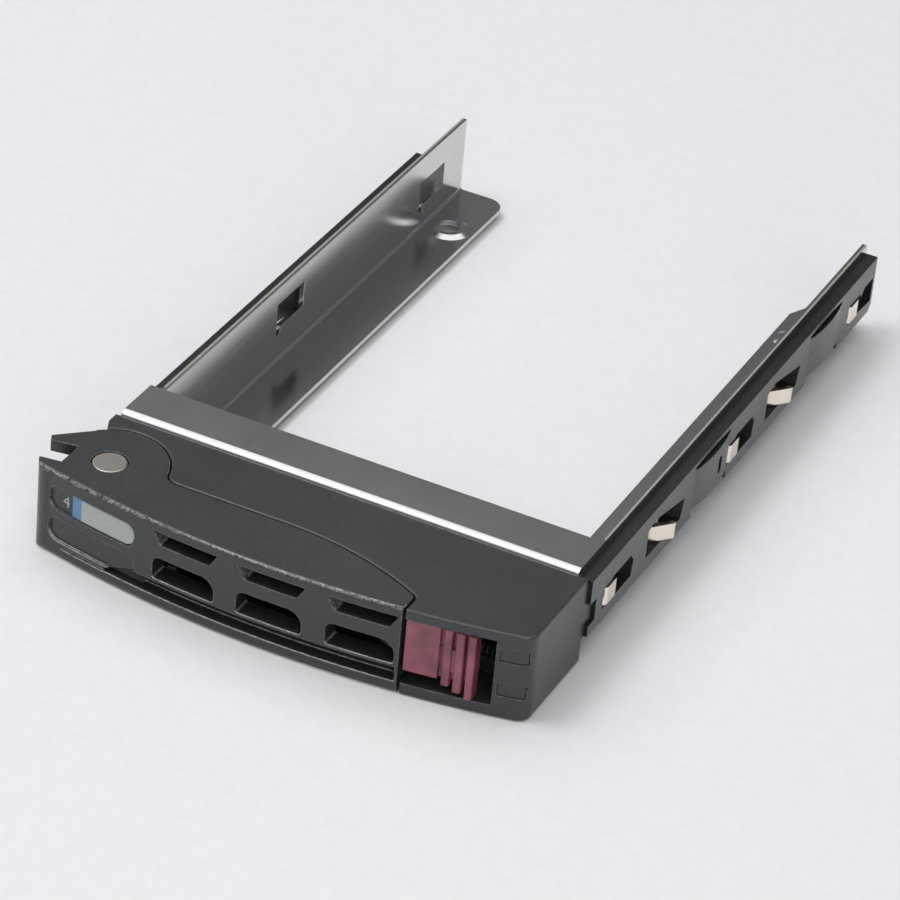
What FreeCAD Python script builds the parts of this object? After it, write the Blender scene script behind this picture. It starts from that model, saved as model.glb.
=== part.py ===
import FreeCAD, Part
import math
import os

V = FreeCAD.Vector

# All lengths are in millimetres.  X runs across the tray, Y to its rear and Z up.
# While it is drawn, Y = 0 is the front of the steel frame and Z = 0 is its underside.

# The 2.5-inch drive that the tray carries
DRIVE_WIDTH = 69.85
DRIVE_LENGTH = 100.45
DRIVE_HOLE_INSET = 4.07
DRIVE_HOLE_TO_PLUG = 14.0
DRIVE_HOLE_SPACING = 76.6
DRIVE_SIDE_GAP = 0.175
DRIVE_SETBACK = 8.45
DRIVE_OVERHANG = 1.2

# Folded steel frame
SHEET = 0.8
BEND_RADIUS = 0.5
WALL_HEIGHT = 13.9
FLANGE_WIDTH = 9.3
FLANGE_CORNER = 3.0
STRIP_DEPTH = 8.8
STRIP_LUG = 1.8
STRIP_LUG_DROP = 1.6
HOLE_RADIUS = 1.9
DIMPLE_RADIUS = 3.7
DIMPLE_TOP_RADIUS = 2.7
DIMPLE_HEIGHT = 0.45
LEFT_WINDOW_START = 43.4
LEFT_WINDOW_TO_REAR = 15.8
LEFT_WINDOW_LENGTH = 8.6
LEFT_WINDOW_LOW = 6.5
LEFT_WINDOW_DROP = 1.6
LEFT_WINDOW_HEIGHT = 4.4
RELIEF = 1.2
TONGUE_START = 23.0
TONGUE_REACH = 4.0
TONGUE_SPREAD = 3.4
TONGUE_FLAT = 0.5
TONGUE_LOW = 5.4
TONGUE_HEIGHT = 2.6
HOOK_ROOT = 3.3
HOOK_REACH = 3.2
HOOK_SPREAD = 2.3
HOOK_FLAT = 2.8
HOOK_LOW = 5.4
HOOK_HEIGHT = 3.0
HOOK_ROOM = 0.2
RIGHT_CHAMFER_WIDTH = 2.6
RIGHT_CHAMFER_LENGTH = 5.6
AIR_SLOT_LOW = 3.2
AIR_SLOT_HEIGHT = 7.0

# Side rails
RAIL_THICKNESS = 2.1
RAIL_LOW = 3.0
RAIL_HEIGHT = 9.6
RAIL_START = 0.9
RAIL_END_GAP = 0.3
LEFT_RAIL_SHORTFALL = 12.2
RAIL_TAIL_LENGTH = 11.0
RAIL_TAIL_LAND = 3.8
RAIL_SLOT_START = 5.4
RAIL_SLOT_LENGTH = 9.7
RAIL_SLOT_LOW = 5.2
RAIL_SLOT_HEIGHT = 3.9
RAIL_SLOT_CHAMFER = 2.2
RAIL_GATE_START = 20.3
RAIL_GATE_LENGTH = 13.2
RAIL_GATE_HEIGHT = 5.4
RAIL_GATE_DROP = 2.3
RAIL_TAIL_NUB = 0.9
RAIL_NUB_START = 5.0
RAIL_NUB_SLOPE = 0.6
RAIL_NUB_WIDTH = 0.8
RAIL_TAIL_STEP = 0.3
RAIL_TAIL_SKIN = 0.7
LEFT_TAIL_LENGTH = 8.0
LEFT_TAIL_HEIGHT = 6.6
LEFT_LUG_LENGTH = 5.0
LEFT_LUG_GAP = 0.15
LEFT_SLOT_TO_BOW = 19.3
RAIL_END_CHAMFER = 1.0
BOW_START = 36.7
LEFT_BOW_START = 39.9
LEFT_BOW_TO_END = 14.1
BOW_LAP = 0.3
BOW_RISE = 0.6
BOW_THICKNESS = 1.0
BOW_BAND = 0.8
BOW_SLIT = 0.5
BOW_UNDERCUT = 1.5
BOW_HOLE_WIDTH = 1.3
BOW_HOLE_LENGTH = 3.0
BOW_HOLE_FROM_END = 4.2

# Front body, fixed bezel and lever
BODY_BOTTOM = -1.1
BODY_HEIGHT = 14.4
FRONT_RADIUS = 163.4
FRONT_CREST_X = -1.8
FRONT_REACH = 21.9
BEZEL_PROUD = 1.6
BEZEL_LEFT_PROUD = 2.5
BEZEL_CORNER = 2.2
BEZEL_EDGE = 0.6
BEZEL_WALL = 1.5
BEZEL_SKIN = 1.4
BEZEL_END_DEPTH = 2.0
BEZEL_END_CUT = 0.8
EAR_REACH = 2.8
EAR_LOW = 5.0
EAR_HEIGHT = 3.4
SEAM = 0.15

PIVOT_INSET = 3.1
PIVOT_SETBACK = 10.6
HUB_RADIUS = 8.6
LEVER_GAP = 0.2
LEVER_END_GAP = 0.4
ARM_DEPTH = 10.8
ARM_CURVE_SPAN = 23.0
ARM_BACK_RADIUS = 48.4
ARM_CORNER = 2.4
ARM_END_CORNER = 1.3
SEAM_EDGE = 0.25
POD_WIDTH = 18.1
LEVER_WALL = 1.5
LEVER_SKIN = 1.2
LEVER_EDGE = 0.5
GRIP_WALL = 3.2
GRIP_INSET = 13.5
HEAD_PROUD = 2.7
HORN_TIP_PROUD = 6.0
HORN_TIP_SETBACK = 1.3
HORN_ROOT_SETBACK = 2.6
HORN_START_PROUD = 3.1
CLAW_TIP_PROUD = 7.4
CLAW_TIP_Y = 9.9
CLAW_TIP_WIDTH = 1.1
CLAW_ROOT_Y = 10.3
CLAW_THICKNESS = 1.9
CLAW_ROOT_ANGLE = 118.0
FLOOR_THICKNESS = 2.6
FLOOR_DISC = 4.9
SKIRT_BACK = 3.2
BOSS_RADIUS = 3.3
PIN_RADIUS = 1.5
PIN_FIT = 0.05
PIN_HEAD_RADIUS = 2.6
PIN_HEAD_HEIGHT = 0.9
PIN_HEAD_SINK = 0.05
PIN_HEAD_GAP = 0.12
CLIP_RADIUS = 2.8
CLIP_THICKNESS = 0.5
CLIP_POCKET = 1.0

LEVER_SPRING_WIRE = 0.25
LEVER_SPRING_PITCH = 0.6
LEVER_SPRING_TURNS = 2.25
LEVER_SPRING_PLAY = 0.3
LEVER_SPRING_GAP = 0.4
LEVER_SPRING_END = -120.0

# Openings in the lever's front
VENT_COUNT = 3
VENT_BAR = 3.4
VENT_FROM_GRIP = 2.4
VENT_FROM_END = 0.4
VENT_STEP = 0.25
UPPER_VENT_LOW = 9.7
UPPER_VENT_HEIGHT = 2.1
UPPER_VENT_SLANT = 1.2
UPPER_VENT_ROUND = 0.6
LOWER_VENT_LOW = 3.8
LOWER_VENT_HEIGHT = 3.7
LOWER_VENT_ROUND = 1.3
LOWER_VENT_BROW = 2.3
LOWER_VENT_FOOT = 0.5
CHANNEL_LOW = 0.9
CHANNEL_HEIGHT = 2.4
CHANNEL_DEPTH = 2.2
CHANNEL_LEAD = 1.1
CHANNEL_END = 0.4
CHANNEL_TAPER = 13.0
CHANNEL_RUN = 5.5
CARD_PROUD = 3.0
CARD_LENGTH = 15.6
CARD_UPPER_LOW = 7.0
CARD_LOWER_LOW = 1.8
CARD_HEIGHT = 3.9
CARD_DEPTH = 0.4
CARD_CORNER = 1.6
LABEL_FROM_CARD = 4.3
STRIPE_WIDTH = 1.6
LABEL_THICKNESS = 0.15
LABEL_EDGE = 0.15

# Release button
BUTTON_GAP = 0.2
BUTTON_WIDTH = 10.2
BUTTON_TRAVEL = 2.5
BUTTON_STOP_GAP = 0.2
BUTTON_SINK = 0.35
BUTTON_THICKNESS = 1.2
BUTTON_CLEARANCE = 0.2
BUTTON_FOOT = 1.9
RIB_COUNT = 3
RIB_FROM_BUTTON = 5.4
RIB_PITCH = 1.82
RIB_WIDTH = 1.3
RIB_RISE = 0.2
RIB_STEP = 0.25
RIB_DROP = 0.55
RIB_ROUND = 0.4
GROOVE_DEPTH = 0.7
GROOVE_WIDTH = 0.5
LIP_TOP = 1.5
LIP_BOTTOM = 2.0
CATCH_LENGTH = 2.0
CATCH_THICKNESS = 1.2
CATCH_LOW = 4.2
CATCH_HEIGHT = 4.6
CATCH_GAP = 0.3
STEM_WIDTH = 3.6
STEM_FROM_BUTTON = 3.8
STEM_LOW = 4.4
STEM_HEIGHT = 3.8
STEM_CLEARANCE = 0.25
BULKHEAD_SETBACK = 11.9
BULKHEAD = 1.4
FOOT_OVERLAP = 1.3
FOOT_THICKNESS = 1.0
SPRING_RADIUS = 1.3
SPRING_WIRE = 0.2
SPRING_TURNS = 6
SPRING_SETBACK = 8.7

# Light pipes and screws
PIPE_INSET = 4.4
PIPE_STEM = 1.7
PIPE_HEAD = 3.9
PIPE_HEAD_DEPTH = 2.0
PIPE_HEIGHT = 2.0
PIPE_LOWER = 2.8
PIPE_UPPER = 8.6
PIPE_GAP = 0.05
SCREW_RADIUS = 1.0
SCREW_LENGTH = 6.0
SCREW_HEAD_RADIUS = 1.9
SCREW_HEAD_HEIGHT = 1.2
SCREW_FIT = 0.03
SCREW_BOSS = 2.3

# Sizes that follow from those above
INNER_HALF = DRIVE_WIDTH / 2 + DRIVE_SIDE_GAP
OUTER_HALF = INNER_HALF + SHEET
RAIL_HALF = OUTER_HALF + RAIL_THICKNESS
FRAME_LENGTH = DRIVE_SETBACK + DRIVE_LENGTH - DRIVE_OVERHANG
HOLE_X = DRIVE_WIDTH / 2 - DRIVE_HOLE_INSET
REAR_HOLE_Y = DRIVE_SETBACK + DRIVE_LENGTH - DRIVE_HOLE_TO_PLUG
FRONT_HOLE_Y = REAR_HOLE_Y - DRIVE_HOLE_SPACING
DATUM_Y = (REAR_HOLE_Y + FRONT_HOLE_Y) / 2
BODY_TOP = BODY_BOTTOM + BODY_HEIGHT
FRONT_CENTRE_Y = FRONT_RADIUS - FRONT_REACH
RAIL_TOP = RAIL_LOW + RAIL_HEIGHT
RAIL_LENGTH = FRAME_LENGTH - RAIL_END_GAP
RAIL_TAIL_START = RAIL_LENGTH - RAIL_TAIL_LENGTH
RAIL_PITCH = (RAIL_TAIL_START - RAIL_TAIL_LAND - RAIL_SLOT_START) / 2
BOW_LENGTH = RAIL_SLOT_START + RAIL_PITCH + BOW_LAP - BOW_START
LEFT_RAIL_LENGTH = RAIL_LENGTH - LEFT_RAIL_SHORTFALL
FLOOR_TOP = BODY_BOTTOM + FLOOR_THICKNESS
BEZEL_RIGHT = OUTER_HALF + BEZEL_PROUD
BEZEL_LEFT = OUTER_HALF + BEZEL_LEFT_PROUD
HEAD_LEFT = OUTER_HALF + HEAD_PROUD
HORN_TIP_X = OUTER_HALF + HORN_TIP_PROUD
HORN_START_X = OUTER_HALF + HORN_START_PROUD
CLAW_TIP_X = OUTER_HALF + CLAW_TIP_PROUD
PIVOT_X = PIVOT_INSET - OUTER_HALF
PIVOT_Y = PIVOT_SETBACK - FRONT_REACH
BULKHEAD_Y = BULKHEAD_SETBACK - FRONT_REACH
SPRING_Y = SPRING_SETBACK - FRONT_REACH
ARM_BACK = FRONT_REACH - ARM_DEPTH
POD_LEFT = BEZEL_RIGHT - POD_WIDTH
LEVER_END = POD_LEFT - LEVER_END_GAP
ARM_STRAIGHT_END = LEVER_END - ARM_CURVE_SPAN
GRIP_START = GRIP_INSET - OUTER_HALF
CHANNEL_LEFT = GRIP_START - CHANNEL_LEAD
CHANNEL_RIGHT = LEVER_END - CHANNEL_END
CARD_LEFT = -OUTER_HALF - CARD_PROUD
LABEL_START = CARD_LEFT + LABEL_FROM_CARD
VENTS_LEFT = GRIP_START + VENT_FROM_GRIP
VENTS_RIGHT = LEVER_END - VENT_FROM_END
VENT_LENGTH = (VENTS_RIGHT - VENTS_LEFT - (VENT_COUNT - 1) * VENT_BAR) / VENT_COUNT
VENT_PITCH = VENT_LENGTH + VENT_BAR
BUTTON_LEFT = POD_LEFT + BUTTON_GAP
RIB_START = BUTTON_LEFT + RIB_FROM_BUTTON
STEM_START = BUTTON_LEFT + STEM_FROM_BUTTON
PIPE_LEFT = BEZEL_RIGHT - PIPE_INSET
SLOT_RIGHT = BUTTON_LEFT + BUTTON_WIDTH + BUTTON_TRAVEL + BUTTON_STOP_GAP
LIP_UNDER = BODY_TOP - LIP_TOP
LIP_OVER = BODY_BOTTOM + LIP_BOTTOM
SCREW_Z = (PIPE_LOWER + PIPE_HEIGHT + PIPE_UPPER) / 2


def front_y(x, inset=0.0):
    """Y of the curved front at x, moved back by inset."""
    radius = FRONT_RADIUS - inset
    return FRONT_CENTRE_Y - math.sqrt(radius ** 2 - (x - FRONT_CREST_X) ** 2)


def arm_back_y(x, gap=0.0):
    """Y of the lever arm's rear edge at x, moved back by gap."""
    if x <= ARM_STRAIGHT_END:
        return gap - ARM_BACK
    radius = ARM_BACK_RADIUS + gap
    drop = radius - math.sqrt(radius ** 2 - (x - ARM_STRAIGHT_END) ** 2)
    return gap - ARM_BACK - drop


def block(x0, x1, y0, y1, z0, z1):
    """Box between two corners given in any order."""
    low = V(min(x0, x1), min(y0, y1), min(z0, z1))
    return Part.makeBox(abs(x1 - x0), abs(y1 - y0), abs(z1 - z0), low)


def disc(x, y, radius, z0, z1):
    """Upright cylinder."""
    return Part.makeCylinder(radius, z1 - z0, V(x, y, z0))


def line(a, b):
    return Part.LineSegment(a, b).toShape()


def arc(a, b, c):
    return Part.Arc(a, b, c).toShape()


def plate(edges, z0, z1):
    """Solid between z0 and z1 from a closed outline drawn at Z = 0."""
    face = Part.Face(Part.Wire(edges))
    face.translate(V(0, 0, z0))
    return face.extrude(V(0, 0, z1 - z0))


def polygon_plate(points, z0, z1):
    wire = Part.makePolygon([V(x, y, z0) for x, y in points + points[:1]])
    return Part.Face(wire).extrude(V(0, 0, z1 - z0))


def side_prism(points, x0, x1):
    """Solid between x0 and x1 from an outline of (y, z) points."""
    wire = Part.makePolygon([V(x0, y, z) for y, z in points + points[:1]])
    return Part.Face(wire).extrude(V(x1 - x0, 0, 0))


def front_prism(points, y0, y1):
    """Solid between y0 and y1 from an outline of (x, z) points."""
    wire = Part.makePolygon([V(x, y0, z) for x, z in points + points[:1]])
    return Part.Face(wire).extrude(V(0, y1 - y0, 0))


def joined(first, others):
    return first.fuse(others).removeSplitter()


def upright_edges(shape, x, y, reach=0.05):
    """Vertical edges of shape that stand at (x, y)."""
    found = []
    for edge in shape.Edges:
        ends = [vertex.Point for vertex in edge.Vertexes]
        if len(ends) == 2 and abs(ends[0].z - ends[1].z) > 1:
            if all(math.hypot(p.x - x, p.y - y) < reach for p in ends):
                found.append(edge)
    return found


def front_band(x0, x1, inset0, inset1, z0, z1):
    """Curved slab between two depths behind the front arc."""
    middle = (x0 + x1) / 2
    edges = [
        arc(V(x0, front_y(x0, inset0), 0), V(middle, front_y(middle, inset0), 0),
            V(x1, front_y(x1, inset0), 0)),
        line(V(x1, front_y(x1, inset0), 0), V(x1, front_y(x1, inset1), 0)),
        arc(V(x1, front_y(x1, inset1), 0), V(middle, front_y(middle, inset1), 0),
            V(x0, front_y(x0, inset1), 0)),
        line(V(x0, front_y(x0, inset1), 0), V(x0, front_y(x0, inset0), 0)),
    ]
    return plate(edges, z0, z1)


def coil_spring(radius, pitch, turns, wire):
    """Coil that winds up from Z = 0, with the end point and heading of its wire."""
    path = Part.makeHelix(pitch, pitch * turns, radius)
    first = path.Edges[0]
    last = path.Edges[-1]
    begin = first.valueAt(first.FirstParameter)
    circle = Part.Wire(Part.Circle(begin, first.tangentAt(first.FirstParameter), wire).toShape())
    coil = Part.Wire(path.Edges).makePipeShell([circle], True, True)
    return coil, last.valueAt(last.LastParameter), last.tangentAt(last.LastParameter)


# ---------------------------------------------------------------- steel frame

def angle_profile(leg_u, leg_v, at):
    """L-shaped sheet section with a round bend; at(u, v) places its points."""
    outer = BEND_RADIUS + SHEET
    bulge = outer - outer * math.sqrt(0.5)
    hollow = outer - BEND_RADIUS * math.sqrt(0.5)
    edges = [
        line(at(leg_u, 0), at(outer, 0)),
        arc(at(outer, 0), at(bulge, bulge), at(0, outer)),
        line(at(0, outer), at(0, leg_v)),
        line(at(0, leg_v), at(SHEET, leg_v)),
        line(at(SHEET, leg_v), at(SHEET, outer)),
        arc(at(SHEET, outer), at(hollow, hollow), at(outer, SHEET)),
        line(at(outer, SHEET), at(leg_u, SHEET)),
        line(at(leg_u, SHEET), at(leg_u, 0)),
    ]
    return Part.Face(Part.Wire(edges))


def side_plate(side):
    """One wall with its inward bottom flange and rounded flange corner."""
    def at(u, v):
        return V(side * (OUTER_HALF - u), 0, v)
    body = angle_profile(FLANGE_WIDTH, WALL_HEIGHT, at).extrude(V(0, FRAME_LENGTH, 0))
    inner = side * (OUTER_HALF - FLANGE_WIDTH)
    corner = [edge for edge in body.Edges
              if all(abs(v.X - inner) < 0.01 and abs(v.Y - FRAME_LENGTH) < 0.01
                     for v in edge.Vertexes)]
    if side < 0:
        return body.makeFillet(FLANGE_CORNER, corner)
    rear = FRAME_LENGTH - RIGHT_CHAMFER_LENGTH
    wedge = [(inner, rear), (inner + RIGHT_CHAMFER_WIDTH, FRAME_LENGTH), (inner, FRAME_LENGTH)]
    return body.cut(polygon_plate(wedge, 0, SHEET))


def front_plate():
    """Front wall with the top strip folded back from it and the strip's left lug."""
    def at(x):
        return lambda u, v: V(x, u, WALL_HEIGHT - v)
    wall = angle_profile(STRIP_DEPTH, WALL_HEIGHT, at(-OUTER_HALF))
    wall = wall.extrude(V(2 * OUTER_HALF, 0, 0))
    lug = angle_profile(STRIP_DEPTH, STRIP_LUG_DROP, at(-OUTER_HALF - STRIP_LUG))
    lug = lug.extrude(V(STRIP_LUG, 0, 0))
    return wall.fuse(lug)


def drive_dimple(x, y):
    """Raised cone round a drive hole, hollow below so that the screw head sits flush."""
    step = V(0, 0, SHEET)
    cone = Part.makeCone(DIMPLE_RADIUS, DIMPLE_TOP_RADIUS, DIMPLE_HEIGHT, V(x, y, 0) + step)
    hollow = Part.makeCone(DIMPLE_TOP_RADIUS, HOLE_RADIUS, DIMPLE_HEIGHT, V(x, y, 0))
    return cone, hollow


def bent_tab(root, reach, spread, flat, low, height):
    """Tab lanced from the right wall and bent outwards, with a flat end."""
    step = SHEET * math.tan(math.atan2(spread, reach) / 2)
    end_x = OUTER_HALF + spread
    end_y = root + reach
    points = [
        (INNER_HALF, root - RELIEF / 2),
        (OUTER_HALF, root - RELIEF / 2),
        (OUTER_HALF, root),
        (end_x, end_y),
        (end_x, end_y + flat),
        (end_x - SHEET, end_y + flat),
        (end_x - SHEET, end_y + step),
        (INNER_HALF, root + step),
    ]
    return polygon_plate(points, low, low + height)


def tab_window(root, reach, spread, flat, low, height):
    """Opening that the lanced tab leaves in the wall."""
    return block(INNER_HALF - 1, OUTER_HALF + 1, root, root + reach + flat + spread / 2,
                 low - RELIEF / 2, low + height + RELIEF / 2)


def hook_roots():
    """Front end of each hook, one for every slot of the right rail."""
    return [start - RAIL_SLOT_START + HOOK_ROOT for start in slot_starts()]


def wall_tabs():
    """Sizes of every tab lanced from the right wall: two contact tongues, three hooks."""
    found = []
    for count in range(2):
        found.append((TONGUE_START + count * RAIL_PITCH, TONGUE_REACH, TONGUE_SPREAD,
                      TONGUE_FLAT, TONGUE_LOW, TONGUE_HEIGHT))
    for root in hook_roots():
        found.append((root, HOOK_REACH, HOOK_SPREAD, HOOK_FLAT, HOOK_LOW, HOOK_HEIGHT))
    return found


def left_windows():
    """Front end and lower edge of each window in the left wall."""
    return [(LEFT_WINDOW_START, LEFT_WINDOW_LOW),
            (FRAME_LENGTH - LEFT_WINDOW_TO_REAR, LEFT_WINDOW_LOW - LEFT_WINDOW_DROP)]


def tray_frame():
    bend = BEND_RADIUS + SHEET
    notch = block(-OUTER_HALF - 1, OUTER_HALF + 1, -1, bend, WALL_HEIGHT - bend, WALL_HEIGHT + 1)
    body = front_plate().fuse([side_plate(side).cut(notch) for side in (-1, 1)])
    cuts = []
    cones = []
    for side in (-1, 1):
        for y in (FRONT_HOLE_Y, REAR_HOLE_Y):
            cone, hollow = drive_dimple(side * HOLE_X, y)
            cones.append(cone)
            cuts.append(hollow)
            cuts.append(disc(side * HOLE_X, y, HOLE_RADIUS, 0, SHEET + DIMPLE_HEIGHT))
    for y, low in left_windows():
        top = low + LEFT_WINDOW_HEIGHT
        cuts.append(block(-OUTER_HALF - 1, -INNER_HALF + 1, y, y + LEFT_WINDOW_LENGTH, low, top))
        cuts.append(block(-OUTER_HALF - 1, -INNER_HALF + 1, y, y + RELIEF, low - RELIEF, top))
    for sizes in wall_tabs():
        cuts.append(tab_window(*sizes))
    for x in vent_centres():
        cuts.append(block(x - VENT_LENGTH / 2 + 1, x + VENT_LENGTH / 2 - 1, -1, SHEET + 1,
                          AIR_SLOT_LOW, AIR_SLOT_LOW + AIR_SLOT_HEIGHT))
    for x in screw_positions():
        cuts.append(Part.makeCylinder(SCREW_RADIUS + SCREW_FIT, SHEET * 3,
                                      V(x, -SHEET, SCREW_Z), V(0, 1, 0)))
    for z in (PIPE_LOWER, PIPE_UPPER):
        cuts.append(block(PIPE_LEFT - PIPE_GAP, PIPE_LEFT + PIPE_STEM + PIPE_GAP, -1, SHEET + 1,
                          z - PIPE_GAP, z + PIPE_HEIGHT + PIPE_GAP))
    body = body.fuse(cones).cut(cuts)
    return joined(body, [bent_tab(*sizes) for sizes in wall_tabs()])


# ---------------------------------------------------------------- side rails

def slot_starts():
    """Front ends of the right rail's two slots and of its closed rear pocket."""
    return [RAIL_SLOT_START, RAIL_SLOT_START + RAIL_PITCH, RAIL_TAIL_START]


def rail_slot(y):
    """Window with its upper front corner cut off."""
    low = RAIL_SLOT_LOW
    top = low + RAIL_SLOT_HEIGHT
    rear = y + RAIL_SLOT_LENGTH
    points = [(y, low), (rear, low), (rear + 0.5, top - 1.3), (rear - 0.6, top),
              (y + 1.5 * RAIL_SLOT_CHAMFER, top), (y, top - RAIL_SLOT_CHAMFER)]
    return side_prism(points, OUTER_HALF - 1, RAIL_HALF + 1)


def rail_gate(y):
    """Window that the contact tongue passes through, with its top sloping to the rear."""
    low = RAIL_SLOT_LOW
    top = low + RAIL_GATE_HEIGHT
    rear = y + RAIL_GATE_LENGTH
    points = [(y, low), (rear - 1, low), (rear, top - RAIL_GATE_DROP), (y + 2.5, top),
              (y, top - 0.7)]
    return side_prism(points, OUTER_HALF - 1, RAIL_HALF + 1)


def rail_bow(y, holed):
    """Opening and outward-bowed leaf of one rail spring, free along its lower edge."""
    z0 = RAIL_LOW + BOW_UNDERCUT
    z1 = RAIL_TOP - BOW_BAND - BOW_SLIT
    gap = block(OUTER_HALF - 1, RAIL_HALF + 1, y, y + BOW_LENGTH, RAIL_LOW - 1, z1 + BOW_SLIT)
    middle = y + BOW_LENGTH / 2
    inner = RAIL_HALF - BOW_THICKNESS
    edges = [
        arc(V(RAIL_HALF, y, 0), V(RAIL_HALF + BOW_RISE, middle, 0), V(RAIL_HALF, y + BOW_LENGTH, 0)),
        line(V(RAIL_HALF, y + BOW_LENGTH, 0), V(inner, y + BOW_LENGTH, 0)),
        arc(V(inner, y + BOW_LENGTH, 0), V(inner + BOW_RISE, middle, 0), V(inner, y, 0)),
        line(V(inner, y, 0), V(RAIL_HALF, y, 0)),
    ]
    leaf = plate(edges, z0, z1)
    if holed:
        at = y + BOW_LENGTH - BOW_HOLE_FROM_END
        low = (z0 + z1 - BOW_HOLE_LENGTH) / 2
        oval = block(inner - 1, RAIL_HALF + BOW_RISE + 1, at - BOW_HOLE_WIDTH / 2,
                     at + BOW_HOLE_WIDTH / 2, low, low + BOW_HOLE_LENGTH)
        ends = [edge for edge in oval.Edges
                if abs(edge.Vertexes[0].X - edge.Vertexes[-1].X) > 1]
        leaf = leaf.cut(oval.makeFillet(BOW_HOLE_WIDTH * 0.45, ends))
    return gap, leaf


def rail_bar(length):
    """Plain bar of a right-hand rail, notched in front for the bezel's ear."""
    chamfer = RAIL_END_CHAMFER
    points = [(RAIL_START, RAIL_LOW), (length - chamfer, RAIL_LOW), (length, RAIL_LOW + chamfer),
              (length, RAIL_TOP), (RAIL_START, RAIL_TOP)]
    bar = side_prism(points, OUTER_HALF, RAIL_HALF)
    top_edge = [edge for edge in bar.Edges
                if all(abs(v.X - RAIL_HALF) < 0.01 and v.Z > RAIL_LOW + RAIL_HEIGHT / 2
                       for v in edge.Vertexes)]
    notch = block(OUTER_HALF - 1, RAIL_HALF + 1, 0, EAR_REACH + SEAM, EAR_LOW - SEAM,
                  EAR_LOW + EAR_HEIGHT + SEAM)
    return bar.makeFillet(0.2, top_edge).cut(notch)


def rail_tail():
    """Closed pocket near the rail's rear end, with a nub on its upper edge."""
    start = RAIL_TAIL_START
    rear = RAIL_LENGTH - RAIL_TAIL_SKIN
    nub = start + RAIL_NUB_START
    nub_end = nub + RAIL_NUB_SLOPE + RAIL_NUB_WIDTH
    high = RAIL_SLOT_LOW + RAIL_SLOT_HEIGHT
    top = high - RAIL_TAIL_STEP
    points = [(start, RAIL_SLOT_LOW + 2 * RAIL_TAIL_STEP),
              (start + 2 * RAIL_NUB_SLOPE, top - RAIL_TAIL_STEP), (nub, top),
              (nub + RAIL_NUB_SLOPE, top - RAIL_TAIL_NUB), (nub_end, top),
              (nub_end + RAIL_NUB_SLOPE, high), (rear, high),
              (rear, RAIL_SLOT_LOW - RAIL_TAIL_STEP)]
    return side_prism(points, OUTER_HALF + RAIL_TAIL_SKIN, RAIL_HALF + 1)


def hook_room(root):
    """Hollow behind the rail's face for one hook of the wall."""
    end_x = OUTER_HALF + HOOK_SPREAD + HOOK_ROOM
    end_y = root + HOOK_REACH
    tip = end_y + HOOK_FLAT + HOOK_ROOM
    points = [(OUTER_HALF - 1, root - HOOK_ROOM), (OUTER_HALF, root - HOOK_ROOM),
              (end_x, end_y - HOOK_ROOM), (end_x, tip), (OUTER_HALF - 1, tip)]
    return polygon_plate(points, HOOK_LOW - HOOK_ROOM, HOOK_LOW + HOOK_HEIGHT + HOOK_ROOM)


def right_rail():
    cuts = [rail_slot(y) for y in slot_starts()[:-1]]
    cuts.append(rail_tail())
    leaves = []
    for count in range(2):
        cuts.append(rail_gate(RAIL_GATE_START + count * RAIL_PITCH))
        gap, leaf = rail_bow(BOW_START + count * RAIL_PITCH, count == 0)
        cuts.append(gap)
        leaves.append(leaf)
    body = rail_bar(RAIL_LENGTH).cut(cuts).fuse(leaves)
    return body.cut([hook_room(root) for root in hook_roots()]).removeSplitter()


def left_rail():
    length = LEFT_RAIL_LENGTH
    cuts = []
    extras = [block(OUTER_HALF, RAIL_HALF, length - RAIL_END_CHAMFER, length + LEFT_TAIL_LENGTH,
                    RAIL_LOW, RAIL_LOW + LEFT_TAIL_HEIGHT)]
    rear_bow = length - LEFT_BOW_TO_END
    cuts.extend([rail_slot(RAIL_SLOT_START), rail_slot(rear_bow - LEFT_SLOT_TO_BOW)])
    for start in (LEFT_BOW_START, rear_bow):
        gap, leaf = rail_bow(start, False)
        cuts.append(gap)
        extras.append(leaf)
    lug_y, low = left_windows()[-1]
    extras.append(block(INNER_HALF + LEFT_LUG_GAP, OUTER_HALF, lug_y + LEFT_LUG_GAP,
                        lug_y + LEFT_LUG_LENGTH, low + LEFT_LUG_GAP,
                        low + LEFT_WINDOW_HEIGHT - LEFT_LUG_GAP))
    return joined(rail_bar(length).cut(cuts), extras).mirror(V(0, 0, 0), V(1, 0, 0))


# ---------------------------------------------------------------- fixed bezel

def vent_centres():
    first = VENTS_LEFT + VENT_LENGTH / 2
    return [first + count * VENT_PITCH for count in range(VENT_COUNT)]


def screw_positions():
    """Screws between the vent columns, and one behind the button."""
    between = [x + VENT_PITCH / 2 for x in vent_centres()[:-1]]
    return between + [STEM_START + STEM_WIDTH + BUTTON_TRAVEL + SCREW_BOSS]


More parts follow.
